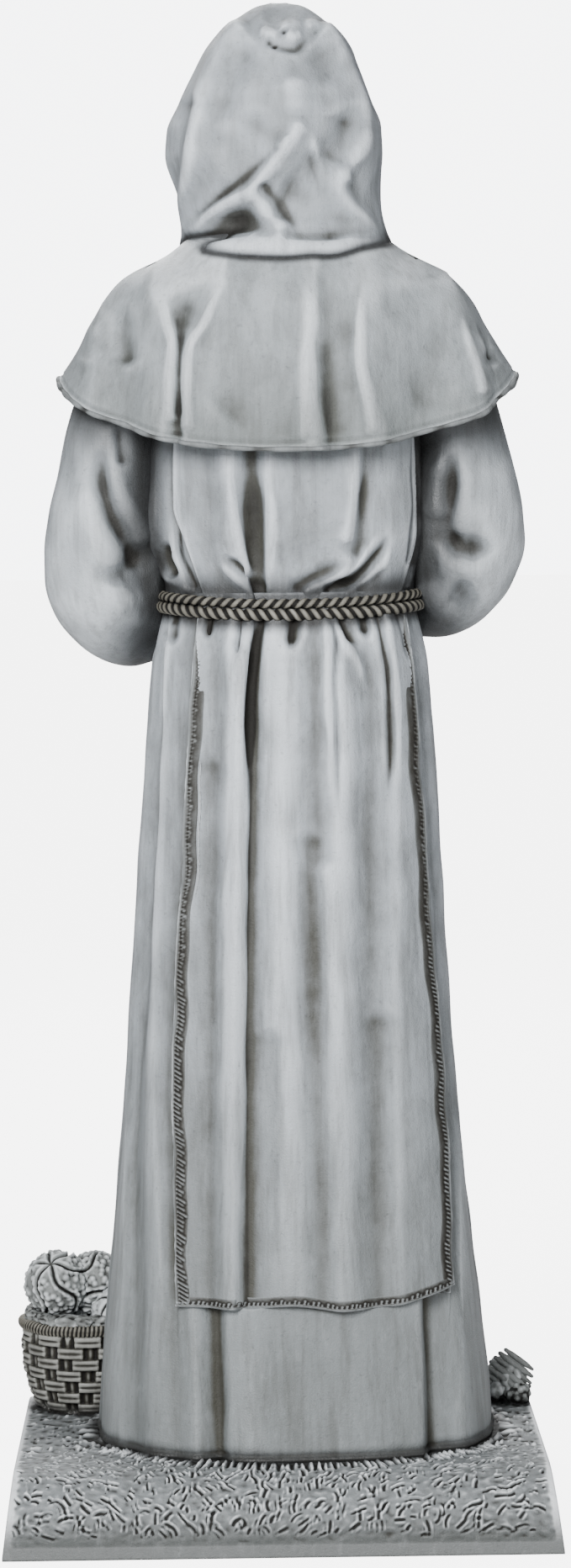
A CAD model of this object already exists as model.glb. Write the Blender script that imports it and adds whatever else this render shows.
"""A hooded gardener monk: a garden statue in pale stone, with a brown-grey wash in its folds."""
import math

import bmesh
import bpy
import numpy as np
from mathutils import Matrix, Quaternion, Vector, noise
from mathutils.bvhtree import BVHTree


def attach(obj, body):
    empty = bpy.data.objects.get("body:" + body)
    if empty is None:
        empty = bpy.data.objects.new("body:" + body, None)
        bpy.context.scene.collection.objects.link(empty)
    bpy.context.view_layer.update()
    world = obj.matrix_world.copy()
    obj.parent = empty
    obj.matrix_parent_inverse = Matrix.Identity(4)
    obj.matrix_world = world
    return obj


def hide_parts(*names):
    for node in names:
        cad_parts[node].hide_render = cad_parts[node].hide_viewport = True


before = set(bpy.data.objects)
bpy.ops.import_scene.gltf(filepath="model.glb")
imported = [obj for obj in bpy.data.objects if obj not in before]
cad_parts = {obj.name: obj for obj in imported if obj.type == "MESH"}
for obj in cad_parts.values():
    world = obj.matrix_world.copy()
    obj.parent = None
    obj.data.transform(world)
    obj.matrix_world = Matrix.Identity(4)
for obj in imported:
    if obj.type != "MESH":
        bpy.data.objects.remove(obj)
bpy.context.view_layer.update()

STATUE = "saint_fiacre_statue"

# Sizes in metres, as in the model
BASE_WIDTH, BASE_DEPTH, BASE_HEIGHT = 0.368, 0.310, 0.052
BASE_DRAFT = 0.007
BASE_ROUNDING = 0.042
FIGURE_PLACE = -0.0132
UNIT = 0.001                # the figure's tables are in its own millimetres
SPADE_SHAFT = 0.0085
BLADE_WIDTH, BLADE_HEIGHT, BLADE_THICKNESS, BLADE_DISH = 0.078, 0.118, 0.012, 0.004
GRIP_LENGTH = 0.092
BASKET_RIM, BASKET_FOOT, BASKET_HEIGHT = 0.0505, 0.037, 0.064
BASKET_GROUND = (0.1325, -0.0945, BASE_HEIGHT)
CABBAGE = 0.0230
HEADS = (
    (-0.95, 0.65, 0.05, 0.9), (0.1, -1.0, 0.1, 0.95), (-1.0, -0.6, 0.0, 0.85), (0.9, -0.5, 0.0, 0.8),
    (0.95, 0.35, 1.0, 1.0), (-0.2, -0.1, 0.95, 0.95),
)
PLANT_PLACE = (-0.1605, -0.0920)
PLANT_HEIGHT, PLANT_REACH = 0.037, 0.0175
STALK = 0.0030

# Robe: (height above the slab, half width or depth)
ROUNDNESS = 2.3
ROBE_SIDE = ((-10, 134.5), (0, 134), (60, 129.5), (130, 122), (270, 109), (410, 100), (530, 91), (575, 84),
             (620, 94), (700, 94), (740, 80), (775, 55))
ROBE_BACK = ((-10, 107), (0, 106), (130, 95), (270, 85), (410, 76), (530, 68), (575, 61), (620, 66),
             (700, 65),
             (775, 45))
ROBE_FRONT = ((-10, 117), (0, 117), (270, 103), (575, 84), (640, 82), (700, 72), (775, 45))
ROBE_LEAN = ((0, 2), (130, 3), (270, 3.5), (410, 2), (620, 0))
SCAPULAR = 4.5
SCAPULAR_END = 103
BELT_HEIGHT = 568

# Folds down the back: how far each line stands out, then its course as (height, distance from the axis)
SKIRT_BACK_LINES = (
    (1.5, ((10, 120), (330, 106), (560, 88))),
    (-4.5, ((10, 108), (157, 109), (330, 98), (560, 84))),
    (2.5, ((10, 92), (98, 89), (240, 92), (560, 80))),
    (-1.5, ((100, 83), (230, 83), (400, 76), (560, 67))),
    (4.5, ((100, 77), (230, 77), (400, 70), (560, 61))),
    (1.0, ((10, 59), (245, 55), (468, 51), (560, 50))),
    (8.0, ((10, 44), (132, 39), (412, 35), (560, 32))),
    (-1.0, ((10, 33), (98, 32), (308, 30), (560, 24))),
    (3.5, ((10, 16), (132, 14), (468, 15), (560, 13))),
    (5.5, ((10, -2), (131, 0), (356, 6), (560, 3))),
    (3.0, ((10, -16), (244, -17), (560, -14))),
    (7.0, ((10, -30), (244, -32), (408, -30), (560, -27))),
    (0.5, ((10, -56), (244, -53), (495, -52), (560, -46))),
    (6.0, ((10, -72), (244, -69), (490, -69), (560, -60))),
    (4.5, ((10, -84), (100, -103), (229, -100), (357, -90), (560, -76))),
    (-2.0, ((10, -91), (100, -109), (229, -106), (357, -96), (560, -82))),
    (2.0, ((10, -111), (182, -113), (400, -106), (560, -91))),
)
PANEL_EDGES = ((3, 4), (15, 14))    # line outside and line inside each edge of the scapular
HEM_BACK_LINES = (
    (1.5, ((0, 124), (103, 119))), (-3.5, ((0, 112), (103, 108))), (2.0, ((0, 96), (103, 93))),
    (-0.5, ((0, 80), (103, 80))), (1.5, ((0, 68), (103, 68))), (-8.5, ((0, 54), (103, 55))),
    (0.5, ((0, 44), (103, 44))), (3.0, ((0, 29), (103, 30))), (0.5, ((0, 8), (103, 8))),
    (-1.0, ((0, -18), (103, -18))), (0.5, ((0, -46), (103, -46))), (2.0, ((0, -68), (103, -66))),
    (3.5, ((0, -81), (103, -80))), (-7.5, ((0, -93), (103, -91))), (-4.5, ((0, -100), (103, -98))),
    (3.0, ((0, -113), (103, -109))), (0.5, ((0, -124), (103, -118))),
)
SKIRT_FRONT_LINES = (
    (4.0, 192), (-3.5, 203), (4.5, 216), (-3.0, 227), (-1.0, 239), (4.5, 243), (6.0, 251), (1.0, 258),
    (6.0, 264), (4.5, 270), (6.0, 277), (1.5, 284), (5.5, 291), (4.5, 297), (-1.0, 301), (-3.5, 312),
    (4.5, 324), (-3.0, 337), (4.0, 348),
)
BODICE_BACK_LINES = (
    (3.0, ((575, 78), (609, 90), (700, 88))),
    (-1.5, ((575, 64), (611, 75), (632, 81), (700, 80))),
    (4.5, ((575, 58), (611, 69), (632, 75), (700, 74))),
    (1.5, ((575, 42), (604, 52), (700, 58))),
    (6.5, ((575, 25), (604, 34), (632, 38), (700, 40))),
    (-1.5, ((575, 22), (606, 26), (700, 26))),
    (4.5, ((575, 16), (606, 15), (700, 10))),
    (3.0, ((575, -10), (700, -14))),
    (6.0, ((575, -26), (600, -38), (632, -41), (700, -40))),
    (1.5, ((575, -36), (611, -47), (700, -50))),
    (5.0, ((575, -54), (617, -67), (700, -70))),
    (4.5, ((575, -73), (615, -81), (700, -79))),
    (-1.5, ((575, -79), (615, -87), (700, -85))),
    (2.5, ((575, -84), (611, -93), (700, -93))),
)
BODICE_EDGES = ((1, 2), (12, 11))
BODICE_FRONT_LINES = (
    (0.0, 200), (-2.0, 220), (-1.0, 240), (4.5, 244), (1.5, 257), (4.0, 270), (1.5, 283), (4.5, 296),
    (-1.0, 300), (-2.0, 320), (0.0, 340),
)

# Cape
CAPE_TOP, CAPE_SIDE_HEM, CAPE_BACK_HEM = 812, 718, 668
CAPE_REACH = (154, 90, 98)
CAPE_SIDE_SLOPE = ((0, 0.42), (0.12, 0.515), (0.3, 0.72), (0.48, 0.81), (0.66, 0.873), (0.84, 0.94), (1, 1))
CAPE_BACK_SLOPE = ((0, 0.55), (0.12, 0.74), (0.3, 0.86), (0.55, 0.93), (0.8, 0.975), (1, 1))
CAPE_BACK_LINES = (
    (2.0, ((680, 130), (740, 124), (800, 105))),
    (-2.5, ((680, 112), (740, 109), (800, 87))),
    (3.5, ((680, 80), (732, 76), (748, 80), (770, 86))),
    (0.4, ((680, 73), (740, 71), (770, 66))),
    (3.5, ((680, 66), (735, 63), (757, 54), (777, 43))),
    (0.0, ((680, 31), (790, 25))),
    (1.0, ((680, 6), (790, 3))),
    (4.0, ((680, -16), (728, -12), (790, -15))),
    (-0.6, ((680, -27), (790, -25))),
    (3.5, ((680, -54), (728, -47), (790, -50))),
    (-1.0, ((680, -70), (790, -67))),
    (-4.0, ((680, -88), (790, -87))),
    (3.5, ((680, -122), (728, -116), (790, -101))),
    (-1.0, ((680, -140), (728, -132), (790, -111))),
)
CAPE_FRONT_LINES = (
    (2.0, 195), (-2.0, 208), (3.0, 222), (-2.0, 234), (3.5, 246), (0.0, 257), (3.5, 266), (-3.0, 270),
    (3.5, 274), (0.0, 284), (3.0, 295), (-2.5, 308), (3.0, 320), (-2.0, 333), (2.0, 346),
)

# Hood
HOOD_MIDDLE = ((800, 0), (834, 4), (868, 8), (949, 4), (968, 4))
HOOD_SIDE = (
    (796, 68), (800, 71), (806, 71.5), (814, 69.5), (834, 68), (868, 73), (884, 72), (901, 65), (935, 49.5),
    (949, 39), (958, 28), (965, 16), (968, 5),
)
HOOD_BACK = (
    (796, 60), (800, 66.5), (805, 68.5), (812, 64), (822, 60), (834, 61), (868, 71), (901, 68),
    (935, 53), (949, 41),
    (958, 29), (965, 15), (968, 5),
)
HOOD_FRONT = (
    (796, 70), (800, 70), (834, 76), (868, 79), (901, 78), (935, 66), (949, 54), (958, 40), (965, 22),
    (968, 6),
)
FACE_OPENING = (5, 882, 43, 56)     # middle and half sizes, seen from the front
FACE_HOLLOW = -26                   # how far back the hood's inside reaches
HEAD_PLACE = (5, -32)

# Sleeve: middle, turn of its outer side in degrees, and reach outwards, inwards, behind and before
SLEEVE = (
    ((92, -4, 764), 0, (28, 30, 34, 34)),
    ((108, -2, 715), 0, (31, 34, 40, 40)),
    ((120, 3, 665), 2, (33, 33, 40, 42)),
    ((124, 4, 620), 6, (40, 36, 42, 38)),
    ((120, -6, 585), 14, (46, 38, 48, 30)),
    ((109, -28, 570), 26, (40, 36, 47, 29)),
    ((88, -53, 573), 34, (33, 34, 43, 29)),
    ((60, -79, 586), 42, (28, 28, 36, 25)),
)
RIGHT_SLEEVE = (0.94, 21)
SLEEVE_HOLLOW = 14
GRIP_LEVEL = 592
PLY_PITCH = 7.0             # along the belt from one ply of a strand to the next

# Folds and creases carved into the back: (out, width, course of (x, height)),
# from the deep end to the faint one
HOOD_FOLDS = (
    (6.0, 6.5, ((24, 952), (33, 944), (44, 928), (54, 904), (61, 876), (65, 852), (69, 830), (73, 806))),
    (-3.6, 11, ((20, 938), (30, 924), (40, 902), (47, 878))),
    (6.0, 6.5, ((-20, 950), (-30, 941), (-40, 920), (-49, 899), (-52, 882), (-49, 865), (-38, 850),
                (-33, 842))),
    (-2.6, 10, ((-18, 936), (-27, 922), (-36, 904))),
    (5.5, 7, ((-42, 856), (-34, 845), (-37, 833), (-50, 819), (-64, 807))),
    (-4.5, 15, ((12, 892), (22, 874), (30, 861), (40, 846))),
    (3.6, 6.0, ((-11, 886), (-2, 870), (8, 856), (21, 842), (38, 829), (56, 817), (72, 804))),
    (2.2, 3.2, ((-2, 874), (9, 859), (23, 844), (41, 832), (57, 821), (72, 808))),
    (-1.7, 3.0, ((4, 868), (11, 860), (22, 851), (36, 841), (51, 831), (65, 821), (72, 810))),
    (-6.0, 12, ((-44, 898), (-43, 882), (-36, 868), (-25, 860), (-12, 856))),
    (-4.0, 13, ((-24, 857), (-11, 853), (-2, 847))),
    (5.0, 7, ((30, 841), (20, 835), (12, 823), (2, 812), (-8, 804))),
    (-3.0, 4, ((19, 846), (6, 829), (-8, 812))),
    (-5.0, 15, ((8, 842), (-10, 832), (-22, 824))),
    (-11, 8, ((76, 800), (60, 809), (46, 816), (33, 820), (20, 816), (16, 808))),
    (4.5, 6, ((60, 803), (30, 800), (5, 798), (-30, 799), (-66, 806))),
    (-3.4, 6, ((7, 810), (-16, 808), (-46, 811))),
    (2.4, 6, ((6, 951), (-3, 947), (-14, 949))),
    (2.0, 3.2, ((1, 943), (-6, 940), (-12, 944))),
    (-2.2, 3.0, ((14, 939), (5, 934), (-6, 932), (-12, 937), (-18, 944))),
    (-2.2, 2.2, ((8, 936), (6, 932))),
    (-2.4, 2.2, ((2, 946), (-1, 941))),
    (3.0, 4, ((18, 946), (10, 943), (3, 945))),
    (3.0, 4, ((-12, 946), (-18, 949), (-25, 946))),
    (-3.0, 9, ((17, 957), (2, 958), (-12, 954))),
    (2.6, 10, ((-3, 918), (-6, 896), (-6, 880))),
    (-2.2, 8, ((-49, 934), (-57, 912), (-64, 883))),
    (-2.6, 7, ((60, 905), (70, 875), (74, 851), (74, 830))),
)
SKIRT_CREASES = (
    (-4.5, 4, ((80, 566), (80, 559), (81, 537))),
    (1.8, 3, ((82, 556), (86, 515), (90, 475))),
    (-3.5, 3, ((54, 566), (54, 560), (57, 542))),
    (-6.0, 4.5, ((31, 568), (32, 560), (35, 545), (39, 530))),
    (-5.0, 3.4, ((20, 570), (21, 560), (25, 536), (28, 509), (29, 483), (30, 449))),
    (2.4, 4, ((27, 560), (31, 529), (33, 509), (35, 470), (34, 431), (36, 377), (36, 310), (37, 265),
              (38, 218),
              (37, 164), (38, 110))),
    (-6.0, 4.5, ((-3, 568), (-2, 560), (2, 535))),
    (-2.2, 2.6, ((-25, 570), (-26, 559), (-29, 541), (-27, 514), (-28, 496), (-29, 469), (-28, 421))),
    (1.6, 4, ((-23, 560), (-24, 535), (-24, 509), (-25, 465))),
    (-6.0, 4, ((-29, 567), (-32, 560), (-39, 545), (-45, 536))),
    (2.4, 3.5, ((-27, 562), (-37, 538), (-43, 526), (-48, 504))),
    (-5.5, 4, ((-47, 568), (-48, 560), (-50, 541))),
    (-4.5, 3.2, ((-57, 568), (-58, 559), (-61, 540), (-64, 521), (-65, 495), (-65, 468), (-62, 431))),
    (2.2, 3.5, ((-61, 562), (-67, 527), (-68, 501), (-70, 464))),
    (-2.5, 2.6, ((-71, 566), (-72, 558), (-76, 543), (-79, 525))),
    (-1.6, 9, ((58, 470), (59, 420), (60, 330))),
    (-1.8, 10, ((17, 290), (18, 220), (18, 130))),
    (-1.8, 9, ((-8, 420), (-9, 340), (-8, 240))),
    (-2.0, 10, ((-56, 300), (-58, 220), (-56, 130))),
    (1.6, 8, ((-20, 400), (-22, 300), (-21, 160))),
)
BODICE_CREASES = (
    (3.0, 4, ((66, 574), (75, 581), (88, 589), (93, 603), (92, 632), (91, 661))),
    (-4.0, 4, ((77, 582), (79, 589), (83, 598), (81, 611))),
    (2.4, 3, ((66, 574), (71, 584), (78, 598), (80, 618))),
    (-2.6, 2.2, ((64, 576), (68, 586), (74, 599), (76, 616), (79, 633), (79, 670))),
    (2.6, 3, ((20, 572), (23, 580), (30, 594), (35, 614), (39, 637), (41, 666))),
    (-4.5, 7, ((20, 566), (20, 580), (22, 599), (24, 627), (25, 660))),
    (-5.0, 3.5, ((19, 572), (24, 580), (34, 589), (46, 601))),
    (2.2, 3, ((23, 570), (29, 578), (39, 586), (49, 597))),
    (2.0, 4, ((17, 572), (17, 582), (15, 599), (13, 620), (15, 654))),
    (1.8, 5, ((-36, 604), (-40, 620), (-42, 640), (-39, 661))),
    (-2.6, 6, ((-38, 594), (-43, 609), (-47, 632), (-51, 658))),
    (-6.5, 4, ((-20, 573), (-31, 578), (-42, 582), (-51, 590), (-60, 601), (-65, 614))),
    (3.0, 3.5, ((-6, 573), (-14, 578), (-30, 583), (-42, 590), (-51, 602), (-60, 616))),
    (2.2, 3, ((-33, 571), (-40, 577), (-51, 583), (-61, 592), (-67, 605))),
    (-3.0, 5, ((2, 574), (-6, 579), (-19, 586), (-35, 595))),
    (-2.4, 5, ((-42, 572), (-48, 577), (-56, 584), (-65, 590))),
    (-3.0, 2.2, ((-79, 590), (-80, 597), (-82, 613), (-84, 630), (-83, 653), (-82, 680))),
    (2.0, 2.6, ((-76, 574), (-78, 579), (-82, 591), (-86, 607), (-86, 630), (-86, 680))),
)
CAPE_CREASES = (
    (3.2, 3.4, ((79, 686), (78, 716), (77, 738), (79, 750), (82, 763), (85, 774))),
    (3.2, 3.6, ((67, 680), (68, 705), (67, 727), (64, 739), (56, 751), (49, 768), (44, 780))),
    (-1.0, 5, ((73, 688), (73, 716), (73, 734))),
    (-1.2, 9, ((72, 745), (69, 759), (64, 774))),
    (-3.6, 7, ((107, 722), (110, 748), (109, 770))),
    (2.0, 6, ((138, 723), (132, 743), (126, 761))),
    (1.8, 6, ((-10, 672), (-11, 698), (-13, 726), (-14, 745))),
    (-1.4, 8, ((-30, 672), (-26, 693), (-22, 720), (-18, 753))),
    (3.2, 4, ((-55, 676), (-51, 701), (-47, 720), (-46, 739), (-47, 758), (-50, 777))),
    (-1.2, 8, ((-39, 700), (-37, 731), (-39, 764))),
    (-2.4, 12, ((-84, 688), (-93, 711), (-97, 734), (-100, 758))),
    (2.6, 4, ((-129, 702), (-123, 726), (-118, 743), (-115, 759))),
    (-1.6, 2.2, ((-137, 727), (-132, 742), (-126, 755))),
    (-2.2, 5, ((-139, 723), (-133, 737))),
    (-1.8, 14, ((46, 688), (25, 710))),
)
LEFT_SLEEVE_CREASES = (
    (-7.7, 9.6, ((90, 590), (96, 595), (106, 606), (115, 619), (121, 632), (125, 652), (127, 676))),
    (3.4, 6.4, ((94, 604), (100, 615), (108, 629), (116, 645), (121, 668))),
    (2.7, 9.6, ((104, 595), (112, 600), (123, 613), (131, 634), (133, 656))),
    (-2.5, 3.9, ((110, 658), (112, 669), (114, 690))),
    (-7.1, 14.4, ((86, 589), (92, 589), (107, 586), (121, 583), (128, 576))),
    (2.7, 11.2, ((102, 573), (115, 568), (126, 565))),
)
RIGHT_SLEEVE_CREASES = (
    (-6.9, 8.7, ((-102, 598), (-104, 607), (-104, 619), (-106, 636), (-108, 653), (-107, 668))),
    (3.2, 5.7, ((-96, 620), (-97, 632), (-99, 650), (-103, 668))),
    (3.2, 6.4, ((-110, 608), (-111, 625), (-114, 645), (-113, 666))),
    (-7.4, 11.2, ((-98, 600), (-104, 600), (-116, 601), (-129, 600), (-137, 595))),
    (2.7, 6.4, ((-96, 595), (-100, 595), (-115, 588), (-127, 586), (-139, 590))),
    (-4.4, 11.2, ((-104, 577), (-109, 575), (-120, 568), (-134, 568))),
    (3.9, 7.9, ((-86, 582), (-89, 579), (-95, 569), (-105, 560), (-118, 555))),
)


# Helpers for shaping

def share_of(value):
    """A value kept from 0 to 1."""
    return np.clip(value, 0, 1)


def eased(share):
    """A share from 0 to 1 that starts and ends gently."""
    return share * share * (3 - 2 * share)


def gauss(value, middle, width):
    return np.exp(-((value - middle) / width) ** 2)


def turns_round(count):
    return np.linspace(0, 2 * math.pi, count + 1)[:-1]


def blend_slopes(slope):
    """Slopes at knots that keep a smooth line from overshooting."""
    product = slope[:-1] * slope[1:]
    inner = np.where(product > 0, 2 * product / np.where(product > 0, slope[:-1] + slope[1:], 1), 0)
    return np.concatenate([slope[:1], inner, slope[-1:]])


def smooth_span(low, high, low_slope, high_slope, span, share):
    """Height on a smooth curve between two knots."""
    return (low + (high - low) * eased(share) + low_slope * span * share * (1 - share) ** 2
            - high_slope * span * share * share * (1 - share))


def line_through(knots, place):
    """Values at places on a smooth line through (place, value) knots that adds no bumps."""
    at, value = np.array(knots, float).T
    tangent = blend_slopes(np.diff(value) / np.diff(at))
    place = np.clip(np.asarray(place, float), at[0], at[-1])
    index = np.clip(np.searchsorted(at, place, side="right") - 1, 0, len(at) - 2)
    span = np.diff(at)[index]
    return smooth_span(value[index], value[index + 1], tangent[index], tangent[index + 1], span,
                       (place - at[index]) / span)


def between(outs, lines, turn):
    """Heights at each turn on smooth folds between lines; lines holds each line's turn at each point."""
    tangent = blend_slopes(np.diff(outs)[:, None] / np.diff(lines, axis=0))
    index = np.clip((turn >= lines).sum(axis=0) - 1, 0, len(lines) - 2)[None]

    def pick(table, step=0):
        return np.take_along_axis(table, index + step, axis=0)[0]

    start, end = pick(lines), pick(lines, 1)
    return smooth_span(outs[index[0]], outs[index[0] + 1], pick(tangent), pick(tangent, 1), end - start,
                       share_of((turn - start) / (end - start)))


def oval(turn, side, back, front, squareness=ROUNDNESS):
    """Points of a rounded section: turn 0 is the left side, a quarter turn the back."""
    across, along = np.cos(turn), np.sin(turn)
    power = 2 / squareness
    return (np.sign(across) * np.abs(across) ** power * side,
            np.sign(along) * np.abs(along) ** power * np.where(along > 0, back, front))


def turn_at(x, side, squareness=ROUNDNESS):
    """The turn at which the back half of a section is x from its middle."""
    share = np.clip(x / side, -0.995, 0.995)
    return np.arccos(np.sign(share) * np.abs(share) ** (squareness / 2))


def line_turns(height, side, back_lines, front_lines, edges=()):
    """Every fold line's turn at each height and how far it stands out, the scapular's edges crisp."""
    turns, outs = [np.zeros_like(height)], [0.0]
    for out, course in back_lines:
        turns.append(turn_at(line_through(course, height), side))
        outs.append(out)
    for outer, inner in edges:
        crisp = turns[inner + 1] + (turns[outer + 1] - turns[inner + 1]) * 0.22
        turns.append(crisp)
        outs.append(back_lines[outer][0])
    turns.append(np.full_like(height, math.pi))
    outs.append(0.0)
    for out, degrees in front_lines:
        turns.append(np.full_like(height, math.radians(degrees)))
        outs.append(out)
    turns.append(np.full_like(height, 2 * math.pi + 1e-3))
    outs.append(0.0)
    order = np.argsort([turn[len(turn) // 2] for turn in turns])
    lines = np.array([turns[number] for number in order])
    for step in range(1, len(lines)):
        lines[step] = np.maximum(lines[step], lines[step - 1] + 0.004)
    return lines, np.array([outs[number] for number in order])


def nearest_on(path, reached, x, z):
    """Distance from each point to a path, and how far along it the nearest spot lies."""
    nearest, along = np.full(x.shape, 1e9), np.zeros(x.shape)
    for number, (start, end) in enumerate(zip(path, path[1:])):
        run = end - start
        share = share_of(((x - start[0]) * run[0] + (z - start[1]) * run[1]) / run.dot(run))
        distance = np.hypot(x - start[0] - run[0] * share, z - start[1] - run[1] * share)
        closer = distance < nearest
        nearest = np.where(closer, distance, nearest)
        along = np.where(closer, reached[number] + share * (reached[number + 1] - reached[number]), along)
    return nearest, along


def folds(carved, x, z):
    """How far the carved folds and creases near each point lift or press the surface."""
    total = np.zeros(x.shape)
    for out, width, course in carved:
        path = rounded(course)
        low, high = path.min(axis=0) - 2.6 * width, path.max(axis=0) + 2.6 * width
        near = (x > low[0]) & (x < high[0]) & (z > low[1]) & (z < high[1])
        if not near.any():
            continue
        reached = np.concatenate([[0], np.cumsum(np.hypot(*np.diff(path, axis=0).T))])
        nearest, along = nearest_on(path, reached, x[near], z[near])
        start = min(1.3 * width, 0.3 * reached[-1])
        end = max(1.6 * width, 0.35 * reached[-1])
        strength = eased(share_of(along / start) * share_of((reached[-1] - along) / end))
        total[near] += out * strength * gauss(nearest, 0, width * (0.55 + 0.45 * strength))
    return total


def rounded(course, pieces=5):
    """A course of points joined by a smooth curve."""
    points = np.array(course, float)
    if len(points) < 3:
        return points
    ends = np.vstack([2 * points[0] - points[1], points, 2 * points[-1] - points[-2]])
    curve = []
    for a, b, c, d in zip(ends, ends[1:], ends[2:], ends[3:]):
        for step in range(pieces):
            t = step / pieces
            curve.append(0.5 * (2 * b + (c - a) * t + (2 * a - 5 * b + 4 * c - d) * t * t
                                + (3 * b - a - 3 * c + d) * t ** 3))
    curve.append(points[-1])
    return np.array(curve)


def outward(points):
    """Normals of a wrapped grid of points, pointing away from its inside."""
    down = np.gradient(points, axis=0)
    across = np.roll(points, -1, axis=1) - np.roll(points, 1, axis=1)
    normal = np.cross(across, down)
    normal /= np.maximum(np.linalg.norm(normal, axis=2, keepdims=True), 1e-9)
    middle = points.mean(axis=1, keepdims=True)
    return normal if ((points - middle) * normal).sum(axis=2).mean() > 0 else -normal


def carve(points, carved, limit=0.3):
    """Presses folds into the side of a wrapped grid that faces the back."""
    normal = outward(points)
    facing = share_of(normal[..., 1] / limit)
    return points + normal * (folds(carved, points[..., 0], points[..., 2]) * facing)[..., None]


def uneven(points, size, seed=0.0):
    """A soft noise at each point."""
    flat = points.reshape(-1, 3) / size
    values = [noise.noise(Vector((x + seed, y, z))) for x, y, z in flat.tolist()]
    return np.array(values).reshape(points.shape[:-1])


def ripple(points, size, height, seed=0.0):
    """Hand-worked unevenness along the normals, in the figure's millimetres."""
    return points + outward(points) * (uneven(points, size, seed) * height)[..., None]


def in_place(points):
    """The figure's own millimetres as metres on the slab."""
    return points * UNIT + np.array([FIGURE_PLACE, 0, BASE_HEIGHT])


def skin(points, closed=True):
    """A closed skin over a grid of points whose columns wrap round, in metres."""
    rows, columns = points.shape[:2]
    mesh = bmesh.new()
    bmesh.ops.create_grid(mesh, x_segments=columns, y_segments=rows - 1, size=0.5)
    wrapped = np.concatenate([points, points[:, :1]], axis=1).reshape(-1, 3)
    for corner, place in zip(mesh.verts, wrapped.tolist()):
        corner.co = place
    bmesh.ops.remove_doubles(mesh, verts=[v for v in mesh.verts if v.is_boundary], dist=1e-7)
    if closed:
        rims = [edge for edge in mesh.edges if edge.is_boundary]
        ends = bmesh.ops.holes_fill(mesh, edges=rims, sides=0)["faces"]
        bmesh.ops.poke(mesh, faces=ends)
    bmesh.ops.recalc_face_normals(mesh, faces=mesh.faces)
    return mesh


def piece(name, mesh, material):
    """A finished piece of the statue from a bmesh."""
    data = bpy.data.meshes.new(name)
    mesh.to_mesh(data)
    mesh.free()
    data.shade_smooth()
    data.materials.append(material)
    made = bpy.data.objects.new(name, data)
    bpy.context.scene.collection.objects.link(made)
    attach(made, "root")
    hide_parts(STATUE)
    return made


# Robe

PANEL_WAVE = ((-110, 9), (-86, 3), (-60, -2), (-30, -3), (2, 1), (30, -1), (60, -1), (90, -1))


def robe_points(turn, height, back_lines, front_lines, edges):
    """Points of the robe at turns and heights, and the direction in which its folds stand out."""
    shape = turn.shape
    turn, height = turn.ravel(), height.ravel()
    side = line_through(ROBE_SIDE, height)
    back = line_through(ROBE_BACK, height)
    front = line_through(ROBE_FRONT, height)
    lines, outs = line_turns(height, side, back_lines, front_lines, edges)
    out = between(outs, lines, turn) * np.minimum(1, 0.3 + np.abs(height - BELT_HEIGHT) / 60)
    x, y = oval(turn, side, back, front)
    if back_lines is SKIRT_BACK_LINES:
        left, right = (turn_at(line_through(back_lines[inner][1], height), side) for _, inner in edges)
        inside = share_of((turn - left) / 0.012 + 1) * share_of((right - turn) / 0.012 + 1)
        below = panel_end(x) - height
        step = share_of(below / 1.4 + 0.5) * inside + share_of(below / 90 + 0.5) * (1 - inside)
        step = eased(step)
        ahead = share_of(1.6 - np.abs(turn - 1.5 * math.pi) / 0.4)
        lower_lines, lower_outs = line_turns(height, side, HEM_BACK_LINES, SKIRT_FRONT_LINES)
        lower = between(lower_outs, lower_lines, turn) - SCAPULAR * ahead
        out = out * (1 - step) + lower * step
    direction = np.stack([x / side ** 2, y / np.where(y > 0, back, front) ** 2], axis=-1)
    direction /= np.maximum(np.linalg.norm(direction, axis=-1, keepdims=True), 1e-9)
    points = np.stack([x + direction[:, 0] * out + line_through(ROBE_LEAN, height),
                       y + direction[:, 1] * out, height], axis=-1)
    flat = np.concatenate([direction, np.zeros((len(turn), 1))], axis=-1)
    return points.reshape(*shape, 3), flat.reshape(*shape, 3)


def panel_end(x):
    """Height of the scapular's lower edge, which waves a little."""
    return SCAPULAR_END + line_through(PANEL_WAVE, x)


def fold_columns(lines, row, reach, pitch):
    """Turns of columns that follow the fold lines, about a pitch apart at one row."""
    places = []
    for number, (start, end) in enumerate(zip(lines[:, row], lines[1:, row])):
        wide = pitch if start < math.pi else 2.1 * pitch
        count = max(2, round((end - start) * reach / wide))
        places += [number + step / count for step in range(count)]
    number = np.array(places).astype(int)
    share = (places - number)[:, None]
    return (lines[number] * (1 - share) + lines[number + 1] * share).T


def robe_grid(levels, back_lines, front_lines, edges, pitch):
    """A wrapped grid of the robe whose columns follow its folds."""
    levels = np.array(levels, float)
    side = line_through(ROBE_SIDE, levels)
    lines, _ = line_turns(levels, side, back_lines, front_lines, edges)
    turn = fold_columns(lines, len(levels) // 2, 100, pitch)
    height = np.repeat(levels[:, None], turn.shape[1], axis=1)
    if back_lines is SKIRT_BACK_LINES:
        x, _ = oval(turn, side[:, None], 1, 1)
        height = height + (panel_end(x) - SCAPULAR_END) * gauss(height, SCAPULAR_END, 45)
    return robe_points(turn, height, back_lines, front_lines, edges)[0]


def spaced(*stops):
    """Levels from stop to stop, each stretch with its own pitch: (from, to, pitch), ..."""
    levels = []
    for start, end, pitch in stops:
        count = max(1, round((end - start) / pitch))
        levels += [start + (end - start) * step / count for step in range(count)]
    return levels + [stops[-1][1]]


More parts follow.
